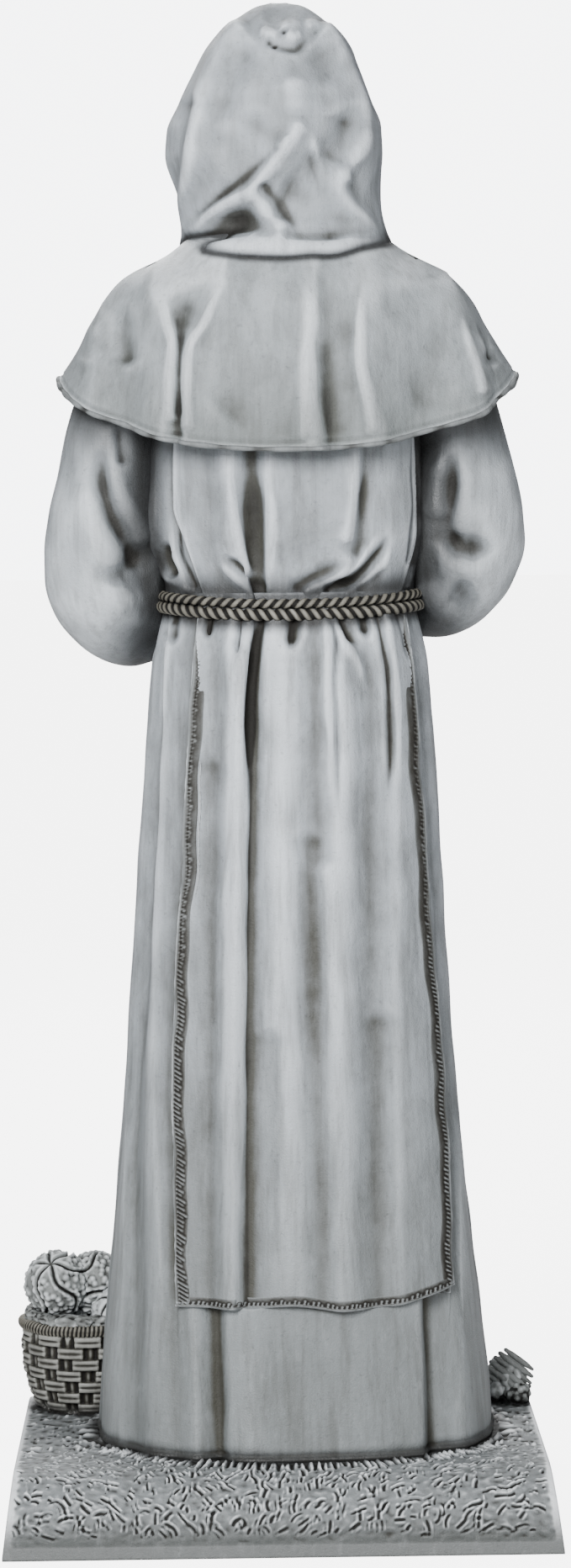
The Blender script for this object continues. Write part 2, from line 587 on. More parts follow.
def skirt():
    levels = spaced((-8, 8, 0.9), (8, 99, 2.4), (99, 107, 0.6), (107, 500, 2.5), (500, BELT_HEIGHT + 6, 1.5))
    grid = robe_grid(levels, SKIRT_BACK_LINES, SKIRT_FRONT_LINES, PANEL_EDGES, 1.6)
    grid = carve(grid, SKIRT_CREASES)
    rise = grid[..., 2]
    lip = 1.1 * gauss(rise, 1.6, 1.5) - 0.7 * gauss(rise, 4.6, 1.3) - 2.5 * share_of((0.4 - rise) / 3)
    grid = grid + outward(grid) * lip[..., None]
    return skin(in_place(ripple(grid, 34, 0.9)))


def bodice():
    levels = spaced((BELT_HEIGHT - 6, 690, 1.5), (690, 770, 6))
    grid = robe_grid(levels, BODICE_BACK_LINES, BODICE_FRONT_LINES, BODICE_EDGES, 1.5)
    grid = carve(grid, BODICE_CREASES)
    return skin(in_place(ripple(grid, 30, 0.7, 7.0)))


# Stitched edges of the scapular

def edge_section():
    """Across a stitched edge: (distance in from the edge, lift) over the rolled rim, then back underneath."""
    over = [(-0.3, -4.2), (-0.35, -2.2), (-0.2, -0.4), (0.2, 0.6), (0.8, 1.15), (1.5, 1.25), (2.1, 0.9),
            (2.7, 0.35)]
    over += [(3.2 + 0.6 * step, -0.1) for step in range(7)]
    over += [(7.4, -0.12), (8.0, -0.2), (8.8, -0.5), (9.6, -1.2)]
    under = [(7.0, -2.2), (4.0, -2.4), (1.2, -3.0)]
    return np.array(over + under)


def stitches(along, inward, pitch, slope, reach, depth, seed):
    """Slanting stitches laid along an edge, each a little unlike the next."""
    place = (along + inward * slope) / pitch
    number = np.floor(place)
    chance = np.modf(np.abs(np.sin(number * 12.9898 + seed) * 43758.5453))[0]
    off = (place - number - 0.5 + (chance - 0.5) * 0.25) * pitch
    length = reach * (0.55 + 0.45 * chance)
    inside = share_of((inward - 2.2) / 0.5) * share_of((2.4 + length - inward) / 0.8)
    return depth * (0.7 + 0.3 * chance) * np.exp(-(off / 0.78) ** 2) * inside


def side_seam(hand):
    """The rolled, stitched edge down one side of the scapular."""
    levels = np.array(spaced((SCAPULAR_END + 1, 330, 0.7), (330, BELT_HEIGHT - 9, 1.2)))
    section = edge_section()
    inner = PANEL_EDGES[0][1] if hand > 0 else PANEL_EDGES[1][1]
    side = line_through(ROBE_SIDE, levels)
    edge = line_through(SKIRT_BACK_LINES[inner][1], levels) + hand * 0.6
    edge = edge + 0.8 * np.sin(levels / 17) + 0.5 * np.sin(levels / 7.3 + 2)
    x = edge[:, None] - hand * section[None, :, 0]
    height = np.repeat(levels[:, None], len(section), axis=1)
    turn = turn_at(x, side[:, None])
    points, direction = robe_points(turn, height, SKIRT_BACK_LINES, SKIRT_FRONT_LINES, PANEL_EDGES)
    shallow = share_of((levels - SCAPULAR_END) / 470)[:, None]
    reach = 6.4 - 4.2 * shallow if hand > 0 else 3.6 - 1.6 * shallow
    depth = 1.5 - 1.0 * shallow
    lift = section[None, :, 1] + stitches(height, section[None, :, 0], 2.9, 0.7 * hand, reach, depth,
                                          3.1 + hand)
    rim = (section[None, :, 0] < 3.0) & (section[None, :, 1] > 0)
    lift = lift * np.where(rim, 0.82 + 0.18 * np.sin(height / 9 + hand), 1)
    lift = lift - 1.4 * share_of((levels[:, None] - 500) / 70) + 0.3 + 0.9 * uneven(points, 34)
    points = carve(points + direction * lift[..., None], SKIRT_CREASES, 0.2)
    return skin(in_place(points))


def panel_hem():
    """The rolled, stitched lower edge of the scapular."""
    section = edge_section()
    left = line_through(SKIRT_BACK_LINES[PANEL_EDGES[0][1]][1], SCAPULAR_END) + 0.8
    right = line_through(SKIRT_BACK_LINES[PANEL_EDGES[1][1]][1], SCAPULAR_END) - 0.8
    across = np.array(spaced((float(right), float(left), 0.6)))
    shown = section[:, 0] * 0.85
    height = panel_end(across)[:, None] - 0.6 + shown[None, :]
    x = np.repeat(across[:, None], len(section), axis=1)
    turn = turn_at(x, line_through(ROBE_SIDE, height.ravel()).reshape(height.shape))
    points, direction = robe_points(turn, np.maximum(height, panel_end(x) + 0.9), SKIRT_BACK_LINES,
                                    SKIRT_FRONT_LINES, PANEL_EDGES)
    points[..., 2] = height
    lift = section[None, :, 1] + stitches(x, section[None, :, 0], 3.0, 0.25, 3.6, 1.3, 9.0)
    lift = lift + 0.35 + 0.9 * uneven(points, 34)
    points = points + direction * lift[..., None]
    return skin(in_place(points))


# Cape

def cape_points(turn, share):
    """Points of the cape at turns and shares of the way down."""
    shape = turn.shape
    turn, share = turn.ravel(), share.ravel()
    reach_side, reach_back, reach_front = CAPE_REACH
    fall = CAPE_TOP - share * (CAPE_TOP - CAPE_BACK_HEM)
    side = reach_side * line_through(CAPE_SIDE_SLOPE, share)
    back = reach_back * line_through(CAPE_BACK_SLOPE, share)
    front = reach_front * line_through(CAPE_BACK_SLOPE, share)
    lines, outs = line_turns(fall, side, CAPE_BACK_LINES, CAPE_FRONT_LINES)
    out = between(outs, lines, turn) * np.minimum(1, share * 3) * (0.5 + share)
    x, y = oval(turn, side, back, front)
    hem = CAPE_SIDE_HEM + (CAPE_BACK_HEM - CAPE_SIDE_HEM) * np.abs(np.sin(turn)) ** 1.3
    height = CAPE_TOP - share * (CAPE_TOP - hem)
    grow = 1 + out / np.hypot(x, y)
    return np.stack([x * grow, y * grow, height], axis=-1).reshape(*shape, 3)


def cape_grid(shares):
    fall = CAPE_TOP - shares * (CAPE_TOP - CAPE_BACK_HEM)
    side = CAPE_REACH[0] * line_through(CAPE_SIDE_SLOPE, shares)
    lines, _ = line_turns(fall, side, CAPE_BACK_LINES, CAPE_FRONT_LINES)
    turn = fold_columns(lines, -1, 118, 1.5)
    return turn, np.repeat(shares[:, None], turn.shape[1], axis=1)


def cape():
    turn, share = cape_grid(np.linspace(0, 1, 92))
    grid = carve(cape_points(turn, share), CAPE_CREASES, 0.2)
    grid = ripple(grid, 26, 1.1, 3.0)
    edge = 0.5 * gauss(share, 0.985, 0.012) - 0.8 * gauss(share, 0.962, 0.009)
    grid = grid + outward(grid) * edge[..., None]
    rim = grid[-1]
    flat = rim * np.array([1, 1, 0])
    inward = -flat / np.linalg.norm(flat, axis=1, keepdims=True)
    under = [rim + inward * size + [0, 0, rise] for size, rise in ((1.5, -0.8), (3.5, -0.2), (5, 1.5))]
    for step in range(1, 9):
        share_in = 1 - 0.42 * step / 8
        under.append(rim * [share_in, share_in, 1] + inward * 5 + [0, 0, 1.5 + 24.5 * (step / 8) ** 0.7])
    return skin(in_place(np.concatenate([grid, np.array(under)])))


def cape_hem():
    """The thin rolled hem of the cape, pinched by its stitches."""
    turn = turns_round(840)
    course = cape_points(turn, np.ones_like(turn))
    course = course + outward_ring(course) * 0.4 + [0, 0, 0.6]
    spacing = np.arange(len(turn))
    girth = 1.65 + 0.22 * np.sin(spacing * 0.31) + 0.15 * np.sin(spacing * 0.113 + 2)
    return skin(in_place(loop_tube(course, girth, 8)), closed=False)


def outward_ring(course):
    """Level directions pointing away from a closed course round the figure."""
    ahead = np.roll(course, -1, axis=0) - np.roll(course, 1, axis=0)
    out = np.stack([ahead[:, 1], -ahead[:, 0], np.zeros(len(course))], axis=1)
    return out / np.linalg.norm(out, axis=1, keepdims=True)


def loop_tube(course, girth, sides, lobes=1):
    """A tube along a closed course; lobes gives its radius share at (place, turn)."""
    out = outward_ring(course)
    ahead = np.roll(course, -1, axis=0) - np.roll(course, 1, axis=0)
    ahead /= np.linalg.norm(ahead, axis=1, keepdims=True)
    up = np.cross(ahead, out)
    turn = turns_round(sides)
    girth = np.broadcast_to(girth, (len(course),))[:, None] * lobes * np.ones(sides)
    ring = (course[:, None] + out[:, None] * (girth * np.cos(turn))[..., None]
            + up[:, None] * (girth * np.sin(turn))[..., None])
    return np.concatenate([ring, ring[:1]])


# Hood and head

def arc_levels(profile, count):
    """Heights evenly spaced along a (height, reach) profile."""
    fine = np.linspace(profile[0][0], profile[-1][0], 4000)
    run = np.hypot(np.diff(fine), np.diff(line_through(profile, fine)))
    return np.interp(np.linspace(0, run.sum(), count), np.concatenate([[0], np.cumsum(run)]), fine)


def hood():
    levels = arc_levels(HOOD_BACK, 142)
    turn = turns_round(290)
    turn = turn + 0.28 * np.cos(turn)
    turn, height = np.meshgrid(turn, levels)
    x, y = oval(turn, line_through(HOOD_SIDE, height), line_through(HOOD_BACK, height),
                line_through(HOOD_FRONT, height), 2.15)
    grid = np.stack([x + line_through(HOOD_MIDDLE, height), y, height], axis=-1)
    grid = carve(grid, HOOD_FOLDS, 0.14)
    grid = ripple(grid, 22, 0.9, 5.0)
    middle, level, wide, tall = FACE_OPENING
    rim = np.hypot((grid[..., 0] - middle) / wide, (grid[..., 2] - level) / tall)
    front = share_of(-grid[..., 1] / 20)
    edge = (3.2 * gauss(rim, 1.1, 0.075) - 1.6 * gauss(rim, 1.27, 0.06)) * front
    grid = grid + outward(grid) * edge[..., None]
    fall = eased(share_of((1.03 - rim) / 0.16)) * front
    grid[..., 1] = grid[..., 1] * (1 - fall) + FACE_HOLLOW * fall
    return skin(in_place(grid))


def face_relief(x, z):
    """How far the face stands before a plain oval: brow, lids, nose, lips, cheeks, moustache and beard."""
    side = np.abs(x)
    out = 3.4 * gauss(z, 896 + 0.03 * side, 4.5) * gauss(side, 14, 13)
    out += 2.0 * gauss(z, 906, 14) * gauss(side, 0, 26)
    socket = gauss(side, 15.5, 8.5) * gauss(z, 885, 6.5)
    out -= 6.0 * socket
    ball = share_of(1 - ((side - 15.5) / 7.2) ** 2 - ((z - 884.5) / 4.6) ** 2)
    out += 4.6 * np.sqrt(ball)
    lid = (z - 886.0 + 0.028 * (side - 15.5) ** 2)
    out += 0.8 * gauss(lid, 0.6, 0.9) * gauss(side, 15.5, 6.5)
    out -= 0.9 * gauss(lid, -1.0, 0.6) * gauss(side, 15.5, 6.0)
    low = (z - 881.2 - 0.022 * (side - 15.5) ** 2)
    out += 0.6 * gauss(low, 0, 0.9) * gauss(side, 15.5, 6.0)
    bridge = share_of((899 - z) / 30)
    wide = 3.6 + 2.2 * bridge + 2.4 * gauss(z, 866.5, 4.5)
    nose = (2.5 + 10.5 * bridge ** 1.2) * share_of((z - 861.5) / 4.0) * share_of((901 - z) / 6)
    out += nose * np.exp(-np.abs(x / wide) ** 2.2)
    out += 2.6 * gauss(side, 6.4, 2.6) * gauss(z, 866.2, 3.4)
    out -= 2.2 * gauss(side, 3.2, 1.5) * gauss(z, 862.6, 1.5)
    out += 3.0 * gauss(side, 22, 9) * gauss(z, 871, 10)
    out -= 1.6 * gauss(side - (870 - z) * 0.25, 12, 2.6) * gauss(z, 862, 8)
    tash = share_of(1 - side / 21)
    out += 3.0 * np.sqrt(tash) * gauss(z, 857.8 - 0.011 * side ** 2, 3.0)
    out += 1.8 * gauss(z, 853.2, 1.5) * gauss(side, 0, 8.5) + 2.1 * gauss(z, 849.8, 1.7) * gauss(side, 0, 7.5)
    out -= 1.4 * gauss(z, 851.6, 0.7) * gauss(side, 0, 9)
    out -= 1.2 * gauss(z, 846.6, 1.6) * gauss(side, 0, 7)
    beard = share_of((855 - z + 0.02 * side ** 2) / 9) * share_of(side / 9 + (846 - z) / 5)
    strands = np.sin(side * 1.35 + 3.2 * np.sin(z * 0.13 + side * 0.09) + np.sin(z * 0.31) * 0.8)
    out += beard * (3.4 + 0.75 * strands)
    out += tash * gauss(z, 857.8 - 0.011 * side ** 2, 3.4) * 0.4 * np.sin(side * 1.7 + z * 0.5)
    return out


def head():
    levels = spaced((806, 838, 1.6), (838, 902, 0.75), (902, 938, 2.2))
    turn = turns_round(160)
    turn = turn - 0.62 * np.cos(turn)
    turn, height = np.meshgrid(turn, levels)
    side = line_through(((806, 22), (821, 30), (845, 34), (885, 37), (920, 33), (940, 20)), height)
    front = line_through(((806, 26), (821, 35), (845, 36), (885, 35), (920, 30), (940, 16)), height)
    x, y = oval(turn, side, 26, front, 2.1)
    y = np.where(y < 0, y - face_relief(x, height) * share_of(-y / 10), y)
    grid = np.stack([x + HEAD_PLACE[0], y + HEAD_PLACE[1], height], axis=-1)
    return skin(in_place(grid))


# Sleeves, hands and spade

def sleeve(hand):
    """A wide sleeve from the shoulder round the elbow to an open cuff; hand is 1 left, -1 right."""
    share, lift = (1, 0) if hand > 0 else RIGHT_SLEEVE
    last = len(SLEEVE) - 1

    def along_arm(values, station):
        return line_through(list(enumerate(values)), station)

    def middle(station):
        x, y, z = (along_arm([place[axis] for place, _, _ in SLEEVE], station) for axis in range(3))
        bump = share_of(1 - (np.abs(station - 4) / 3.5) ** 2) ** 2
        return np.stack([x * share, y, z + lift * bump], axis=-1)

    stations = np.linspace(0, last, 156)
    centre = middle(stations)
    ahead = middle(np.minimum(stations + 0.3, last)) - middle(np.maximum(stations - 0.3, 0))
    ahead /= np.linalg.norm(ahead, axis=1, keepdims=True)
    angle = np.radians(along_arm([degrees for _, degrees, _ in SLEEVE], stations))
    out = np.stack([np.cos(angle), -np.sin(angle), np.zeros_like(angle)], axis=-1)
    out -= ahead * (out * ahead).sum(axis=1, keepdims=True)
    out /= np.linalg.norm(out, axis=1, keepdims=True)
    behind = np.cross(out, ahead)
    reach = [along_arm([sizes[way] for _, _, sizes in SLEEVE], stations)[:, None] for way in range(4)]
    turn = turns_round(140)
    across = np.cos(turn) * np.where(np.cos(turn) > 0, reach[0], reach[1])
    along = np.sin(turn) * np.where(np.sin(turn) > 0, reach[2], reach[3])
    grid = centre[:, None] + out[:, None] * across[..., None] + behind[:, None] * along[..., None]
    rim = grid[-1] - centre[-1]
    cuff = [(1.0, -0.8), (0.985, -1.6), (0.95, -2.0), (0.91, -1.7), (0.87, -0.6), (0.84, 1.0)]
    cuff += [(0.83 - 0.05 * step / 8, 1 + (SLEEVE_HOLLOW - 1) * step / 8) for step in range(1, 9)]
    rings = [centre[-1] + rim * size - ahead[-1] * deep for size, deep in cuff]
    grid = np.concatenate([grid, np.array(rings)])
    grid[..., 0] *= hand
    if hand < 0:
        grid = grid[:, ::-1]
    body = len(stations)
    shaped = carve(grid, LEFT_SLEEVE_CREASES if hand > 0 else RIGHT_SLEEVE_CREASES, 0.25)
    grid[:body] = shaped[:body]
    wrinkled = ripple(grid, 24, 1.0, 11.0 + hand)
    grid[:body - 6] = wrinkled[:body - 6]
    return skin(in_place(grid))


def rope(drop, girth, twist, thick):
    """One strand of the belt: a rope of two plies laid round the waist."""
    waist = [float(line_through(knots, BELT_HEIGHT)) for knots in (ROBE_SIDE, ROBE_BACK, ROBE_FRONT)]
    turn = turns_round(700)
    x, y = oval(turn, *waist)
    grow = 1 + (2.4 + thick) / np.hypot(x, y)
    sag = 5 * np.cos(turn) ** 2
    course = np.stack([x * grow, y * grow, BELT_HEIGHT - 5 + sag + drop], axis=-1)
    step = np.linalg.norm(np.roll(course, -1, axis=0) - course, axis=1)
    length = np.concatenate([[0], np.cumsum(step)[:-1]])
    turns = round(step.sum() / (2 * PLY_PITCH))
    around = turns_round(14)
    phase = around[None, :] + twist * 2 * math.pi * turns * (length / step.sum())[:, None]
    lobes = 0.52 + 0.52 * np.abs(np.cos(phase)) ** 0.6
    return skin(in_place(loop_tube(course, girth, 14, lobes)), closed=False)


def tube(course, girths, sides=18, pieces=8):
    """A limb along a smooth course with radii, or (across, through) ones, in metres, its ends rounded."""
    spine = rounded(course, pieces)
    number = np.linspace(0, len(course) - 1, len(spine))
    both = [np.broadcast_to(girth, 2) for girth in girths]
    wide, thick = (np.interp(number, range(len(course)), [girth[way] for girth in both]) for way in range(2))
    ahead = np.gradient(spine, axis=0)
    ahead /= np.linalg.norm(ahead, axis=1, keepdims=True)
    across = np.zeros_like(spine)
    side = np.array([1.0, 0, 0]) if abs(ahead[0][0]) < 0.9 else np.array([0, 0, 1.0])
    for step in range(len(spine)):
        side = side - ahead[step] * side.dot(ahead[step])
        side /= np.linalg.norm(side)
        across[step] = side
    through = np.cross(ahead, across)
    turn = turns_round(sides)
    grid = (spine[:, None] + across[:, None] * (wide[:, None] * np.cos(turn))[..., None]
            + through[:, None] * (thick[:, None] * np.sin(turn))[..., None])

    def cap(end, way):
        return [spine[end] + (grid[end] - spine[end]) * size + way * ahead[end] * wide[end] * deep
                for size, deep in ((0.86, 0.4), (0.6, 0.7), (0.25, 0.9))]

    return np.concatenate([cap(0, -1)[::-1], grid, cap(-1, 1)])


def joined(meshes):
    """Several bmeshes as one."""
    whole = bmesh.new()
    for mesh in meshes:
        data = bpy.data.meshes.new("part")
        mesh.to_mesh(data)
        mesh.free()
        whole.from_mesh(data)
        bpy.data.meshes.remove(data)
    return whole


def spade_line(height):
    depth = -float(line_through(ROBE_FRONT, height)) - SCAPULAR - 4
    return np.array([FIGURE_PLACE, depth * UNIT, BASE_HEIGHT + height * UNIT])


def hands():
    """Both hands laid over the grip: palms, bent fingers with knuckles, and cuffs of wrist."""
    parts = []
    grip = spade_line(GRIP_LEVEL)
    for hand in (1, -1):
        def near_grip(x, y, z):
            return grip + np.array([x * hand, y, z]) * UNIT
        cuff = np.array([FIGURE_PLACE + 54 * hand * UNIT, -80 * UNIT, BASE_HEIGHT + (GRIP_LEVEL - 4) * UNIT])
        palm = [cuff, near_grip(43, 6, 4), near_grip(34, 1, 10), near_grip(24, -2, 13.5),
                near_grip(12, -4, 14),
                near_grip(6, -5, 12)]
        widths = ((14, 14), (14, 12), (16, 11), (18, 10), (17, 9), (12, 6))
        parts.append(skin(tube(palm, np.array(widths) * UNIT, 26)))
        for finger in range(4):
            along = 7.5 + 10.3 * finger
            slant = 0.6 * finger
            course = [near_grip(along + 1, -1, 14.5), near_grip(along, -11, 16.5 - slant),
                      near_grip(along, -17.5, 7.5), near_grip(along - 0.4, -16.5, -4),
                      near_grip(along - 0.8, -12.5, -11.5)]
            thick = (4.5, 5.4, 5.6, 5.1, 3.0)
            parts.append(skin(tube(course, np.array(thick) * UNIT, 18)))
        thumb = [near_grip(10, 7, 9), near_grip(6, 10, 2), near_grip(4.5, 9, -7)]
        parts.append(skin(tube(thumb, (0.0058, 0.0056, 0.0040), 18)))
    return joined(parts)


def spade():
    """Shaft, cross grip and dished blade with a raised socket."""
    foot, top = spade_line(30), spade_line(GRIP_LEVEL - 1)
    shaft = [foot + (top - foot) * step / 12 for step in range(13)]
    parts = [skin(tube(shaft, [SPADE_SHAFT] * 13, 28, 10))]
    socket = [foot + (top - foot) * step for step in (0.04, 0.10, 0.17, 0.215, 0.22)]
    parts.append(skin(tube(socket, [(0.0118, 0.0112), (0.0114, 0.0110), (0.0108, 0.0106), (0.0104, 0.0102),
                                    (0.0088, 0.0088)], 28, 10)))
    middle = spade_line(GRIP_LEVEL)
    reach = np.array([GRIP_LENGTH / 2, 0, 0])
    grip = [middle - reach, middle - reach * 0.86, middle, middle + reach * 0.86, middle + reach]
    parts.append(skin(tube(grip, (0.0078, SPADE_SHAFT, 0.0079, SPADE_SHAFT, 0.0078), 28, 10)))
    blade = bmesh.new()
    bmesh.ops.create_grid(blade, x_segments=44, y_segments=60, size=0.5)
    for vertex in blade.verts:
        across, up = vertex.co.x * 2, vertex.co.y + 0.5
        narrow = 1 - 0.12 * (1 - up) - 0.25 * max(0.0, 0.2 - up)
        worn = 0.0006 * noise.noise(Vector((across * 3, up * 5, 0)))
        vertex.co = (FIGURE_PLACE + across * narrow * BLADE_WIDTH / 2,
                     spade_line(up * BLADE_HEIGHT / UNIT)[1] + BLADE_DISH * across * across + worn,
                     BASE_HEIGHT - 0.004 + up * BLADE_HEIGHT)
    bmesh.ops.recalc_face_normals(blade, faces=blade.faces)
    bmesh.ops.solidify(blade, geom=blade.faces[:], thickness=BLADE_THICKNESS)
    bmesh.ops.recalc_face_normals(blade, faces=blade.faces)
    parts.append(blade)
    return joined(parts)


def shoes():
    """Tips of two plain shoes with a sole line, under the front hem."""
    parts = []
    for side in (1, -1):
        mesh = bmesh.new()
        bmesh.ops.create_uvsphere(mesh, u_segments=64, v_segments=40, radius=1.0)
        for vertex in mesh.verts:
            x, y, z = vertex.co
            sole = 0.07 * math.exp(-((z + 0.35) / 0.09) ** 2) - 0.05 * math.exp(-((z + 0.15) / 0.07) ** 2)
            seam = 0.03 * math.exp(-((math.hypot(x, y - 0.2) - 0.6) / 0.07) ** 2) * (z > 0)
            vertex.co = Vector((x, y, z)) * (1 + sole - seam)
        bmesh.ops.scale(mesh, vec=(0.021, 0.028, 0.013), verts=mesh.verts)
        place = (FIGURE_PLACE + side * 0.056, -0.112, BASE_HEIGHT + 0.009)
        bmesh.ops.translate(mesh, vec=place, verts=mesh.verts)
        parts.append(mesh)
    return joined(parts)


# Ground slab

# Slab, in millimetres from the middle of its underside
SLAB_HALF, SLAB_TOP, SLAB_RADIUS = BASE_DEPTH * 500, BASE_HEIGHT * 1000, BASE_ROUNDING * 1000
SLAB_FLAT = SLAB_HALF - SLAB_RADIUS     # half of the level part, from front to back
SLAB_INSET = 0.6            # the strokes' ground lies this much inside the slab's ends


def slab_end(height):
    """Half the slab's width at a height."""
    return BASE_WIDTH * 500 - BASE_DRAFT * 1000 * height / SLAB_TOP


def slab_line(run):
    """A point and direction of the slab's upper profile: run is measured over the surface from its middle."""
    sign, size = np.sign(run), np.abs(run)
    angle = np.clip((size - SLAB_FLAT) / SLAB_RADIUS, 0, math.pi / 2)
    down = np.maximum(size - SLAB_FLAT - SLAB_RADIUS * math.pi / 2, 0)
    y = np.minimum(size, SLAB_FLAT) + SLAB_RADIUS * np.sin(angle)
    z = SLAB_TOP - SLAB_RADIUS * (1 - np.cos(angle)) - down
    return sign * y, z, sign * np.sin(angle), np.cos(angle)


def slab_run(y):
    """The run over the slab at a distance from its middle."""
    size = np.abs(y)
    bent = SLAB_RADIUS * np.arcsin(share_of((size - SLAB_FLAT) / SLAB_RADIUS))
    return np.sign(y) * np.where(size < SLAB_FLAT, size, SLAB_FLAT + bent)


def chance(number, seed):
    """A steady pseudo-random share from 0 to 1."""
    return math.modf(abs(math.sin(number * 12.9898 + seed * 78.233) * 43758.5453))[0]


def hem_ring(number, count):
    """A point of the robe's foot on the slab and the direction away from it, in the slab's own run."""
    turn = 2 * math.pi * number / count
    x, y = oval(np.array([turn]), 136, 108, 118)
    out = np.array([x[0] / 136 ** 2, y[0] / 110 ** 2])
    out /= np.hypot(*out)
    return np.array([x[0] + FIGURE_PLACE * 1000, float(slab_run(y)[0])]), out


def grass_strokes():
    """Tooled strokes over the slab, a comb round the hem and scattered curls: (depth, width, course)."""
    strokes = []
    count = 165
    for number in range(count):
        foot, out = hem_ring(number + 0.6 * chance(number, 1), count)
        side = np.array([-out[1], out[0]])
        length = 11 + 9 * chance(number, 2)
        bend = 3.2 * (chance(number, 3) - 0.4)
        course = [foot + out * 0.5, foot + out * length * 0.5 + side * bend * 0.35,
                  foot + out * length + side * bend]
        strokes.append((1.7 + 0.6 * chance(number, 4), 1.05 + 0.35 * chance(number, 5), course))
    number = 0
    for row in range(-24, 25):
        for column in range(-24, 25):
            number += 1
            place = np.array([(column + 0.9 * chance(number, 6) - 0.45) * 7.4 + (row % 2) * 3.7,
                              (row + 0.8 * chance(number, 7) - 0.4) * 7.2])
            if abs(place[0]) > 172 or abs(place[1]) > 180 or chance(number, 8) < 0.08:
                continue
            x, y = place[0] - FIGURE_PLACE * 1000, place[1]
            if (abs(x) / 150) ** 2.3 + (abs(y) / 124) ** 2.3 < 1:
                continue
            across = max(-1.0, min(1.0, place[0] / 150))
            flow = math.radians(100 - 50 * across + 110 * (chance(number, 9) - 0.5))
            if place[1] < 0:
                flow = -flow
            length = 4.5 + 8.0 * chance(number, 10)
            curl = (chance(number, 11) - 0.5) * 3.0
            course, point, angle = [], place.copy(), flow
            for _ in range(5):
                course.append(point.copy())
                point = point + np.array([math.cos(angle), -math.sin(angle)]) * length / 4
                angle += curl / 4
            strokes.append((0.7 + 0.9 * chance(number, 12), 0.70 + 0.40 * chance(number, 13), course))
            if chance(number, 14) < 0.45:
                shift = np.array([2.4 + chance(number, 15), 1.2])
                strokes.append((0.6, 0.75, [spot + shift for spot in course[:4]]))
    return strokes


def pressed(strokes, x, run):
    """Depth of tooled strokes, each a groove with the stone pushed up beside it."""
    total = np.zeros(x.shape)
    for depth, width, course in strokes:
        path = rounded(course, 3)
        low, high = path.min(axis=0) - 3.4 * width, path.max(axis=0) + 3.4 * width
        first, final = np.searchsorted(x[:, 0], [low[0], high[0]])
        if first >= final:
            continue
        px, pr = x[first:final], run[first:final]
        columns = np.flatnonzero(((pr > low[1]) & (pr < high[1])).any(axis=0))
        if not len(columns):
            continue
        px, pr = px[:, columns], pr[:, columns]
        nearest, along = nearest_on(path, np.linspace(0, 1, len(path)), px, pr)
        strength = share_of(along / 0.1) * share_of((1 - along) / 0.3)
        shape = 0.75 * gauss(nearest, 1.9 * width, 0.8 * width) - gauss(nearest, 0, width)
        block = total[first:final]
        block[:, columns] += depth * strength * shape
    return total


def slab():
    reach = 189.0
    runs = np.array(spaced((-reach, 62, 4.2), (62, 96, 1.8), (96, 182, 0.82), (182, reach, 1.8)))
    stations = np.linspace(-1, 1, 386)
    y, z, slope, rise = slab_line(runs)
    z = np.clip(z, 0, None)
    half = slab_end(z)
    x = stations[:, None] * (half[None, :] - SLAB_INSET)
    run = np.repeat(runs[None, :], len(stations), axis=0)
    depth = pressed(grass_strokes(), x, run)
    edge = share_of((half[None, :] - np.abs(x)) / 5) * share_of((183 - np.abs(run)) / 6)
    flat = np.stack([x, run, np.ones_like(x)], axis=-1)
    soft, crumpled = uneven(flat, (13, 13, 0.25)), uneven(flat, (5.5, 4.0, 1 / 9))
    depth = (depth + 0.5 * soft + 0.9 * crumpled - 0.3) * edge
    deepest = SLAB_HALF - 0.3
    top = np.stack([x, np.clip(y + slope * depth, -deepest, deepest), z + rise * depth], axis=-1)
    under_y = np.linspace(SLAB_HALF - 0.7, -SLAB_HALF + 0.7, 12)
    under_x = stations[:, None] * (slab_end(0) - SLAB_INSET)
    under = np.stack([np.repeat(under_x, len(under_y), axis=1), np.tile(under_y, (len(stations), 1)),
                      np.zeros((len(stations), len(under_y)))], axis=-1)
    grid = np.concatenate([top, under], axis=1)

    def cap(rim, side):
        rings = []
        middle = np.array([0, 0, SLAB_TOP * 0.4])
        for inward, out in ((0.985, 0.35), (0.96, 0.55), (0.92, SLAB_INSET), (0.8, SLAB_INSET),
                            (0.6, SLAB_INSET), (0.4, SLAB_INSET), (0.2, SLAB_INSET)):
            ring = middle + (rim - middle) * inward
            ring[:, 2] = np.clip(ring[:, 2], 0, None)
            ring[:, 0] = side * (slab_end(ring[:, 2]) - SLAB_INSET + out)
            rings.append(ring)
        return rings

    return skin(np.concatenate([cap(grid[0], -1)[::-1], grid, cap(grid[-1], 1)]) * UNIT)


# Basket and its heads

def basket_wall(share):
    """Radius of the basket's wall at a share of its height."""
    return BASKET_FOOT + (BASKET_RIM - 0.0035 - BASKET_FOOT) * share ** 0.8 + 0.003 * np.sin(math.pi * share)


def weave(turn, row):
    """Lift of the woven reeds: pairs of reeds pass over three stakes' width, then behind a pair of stakes."""
    number = np.floor(row)
    level = row - number
    pairs = 10
    place = (turn / (2 * math.pi) * pairs + 0.5 * (number % 2) + 0.07 * np.sin(number * 2.1)) % 1.0
    over = share_of((0.5 - np.abs(place - 0.5) - 0.17) / 0.04 + 0.5)
    crown = np.sin(math.pi * share_of((place - 0.17) / 0.66))
    reeds = np.sqrt(share_of(1 - (2 * ((level * 2) % 1.0) - 1) ** 2))
    reeds = reeds * share_of(np.minimum(level, 1 - level) / 0.06)
    window = np.minimum(place, 1 - place)
    stakes = np.sqrt(share_of(1 - (window / 0.075) ** 2))
    return over * (0.2 + 1.6 * reeds * (0.7 + 0.5 * crown)) - (1 - over) * (2.6 - 2.2 * stakes) - 0.6


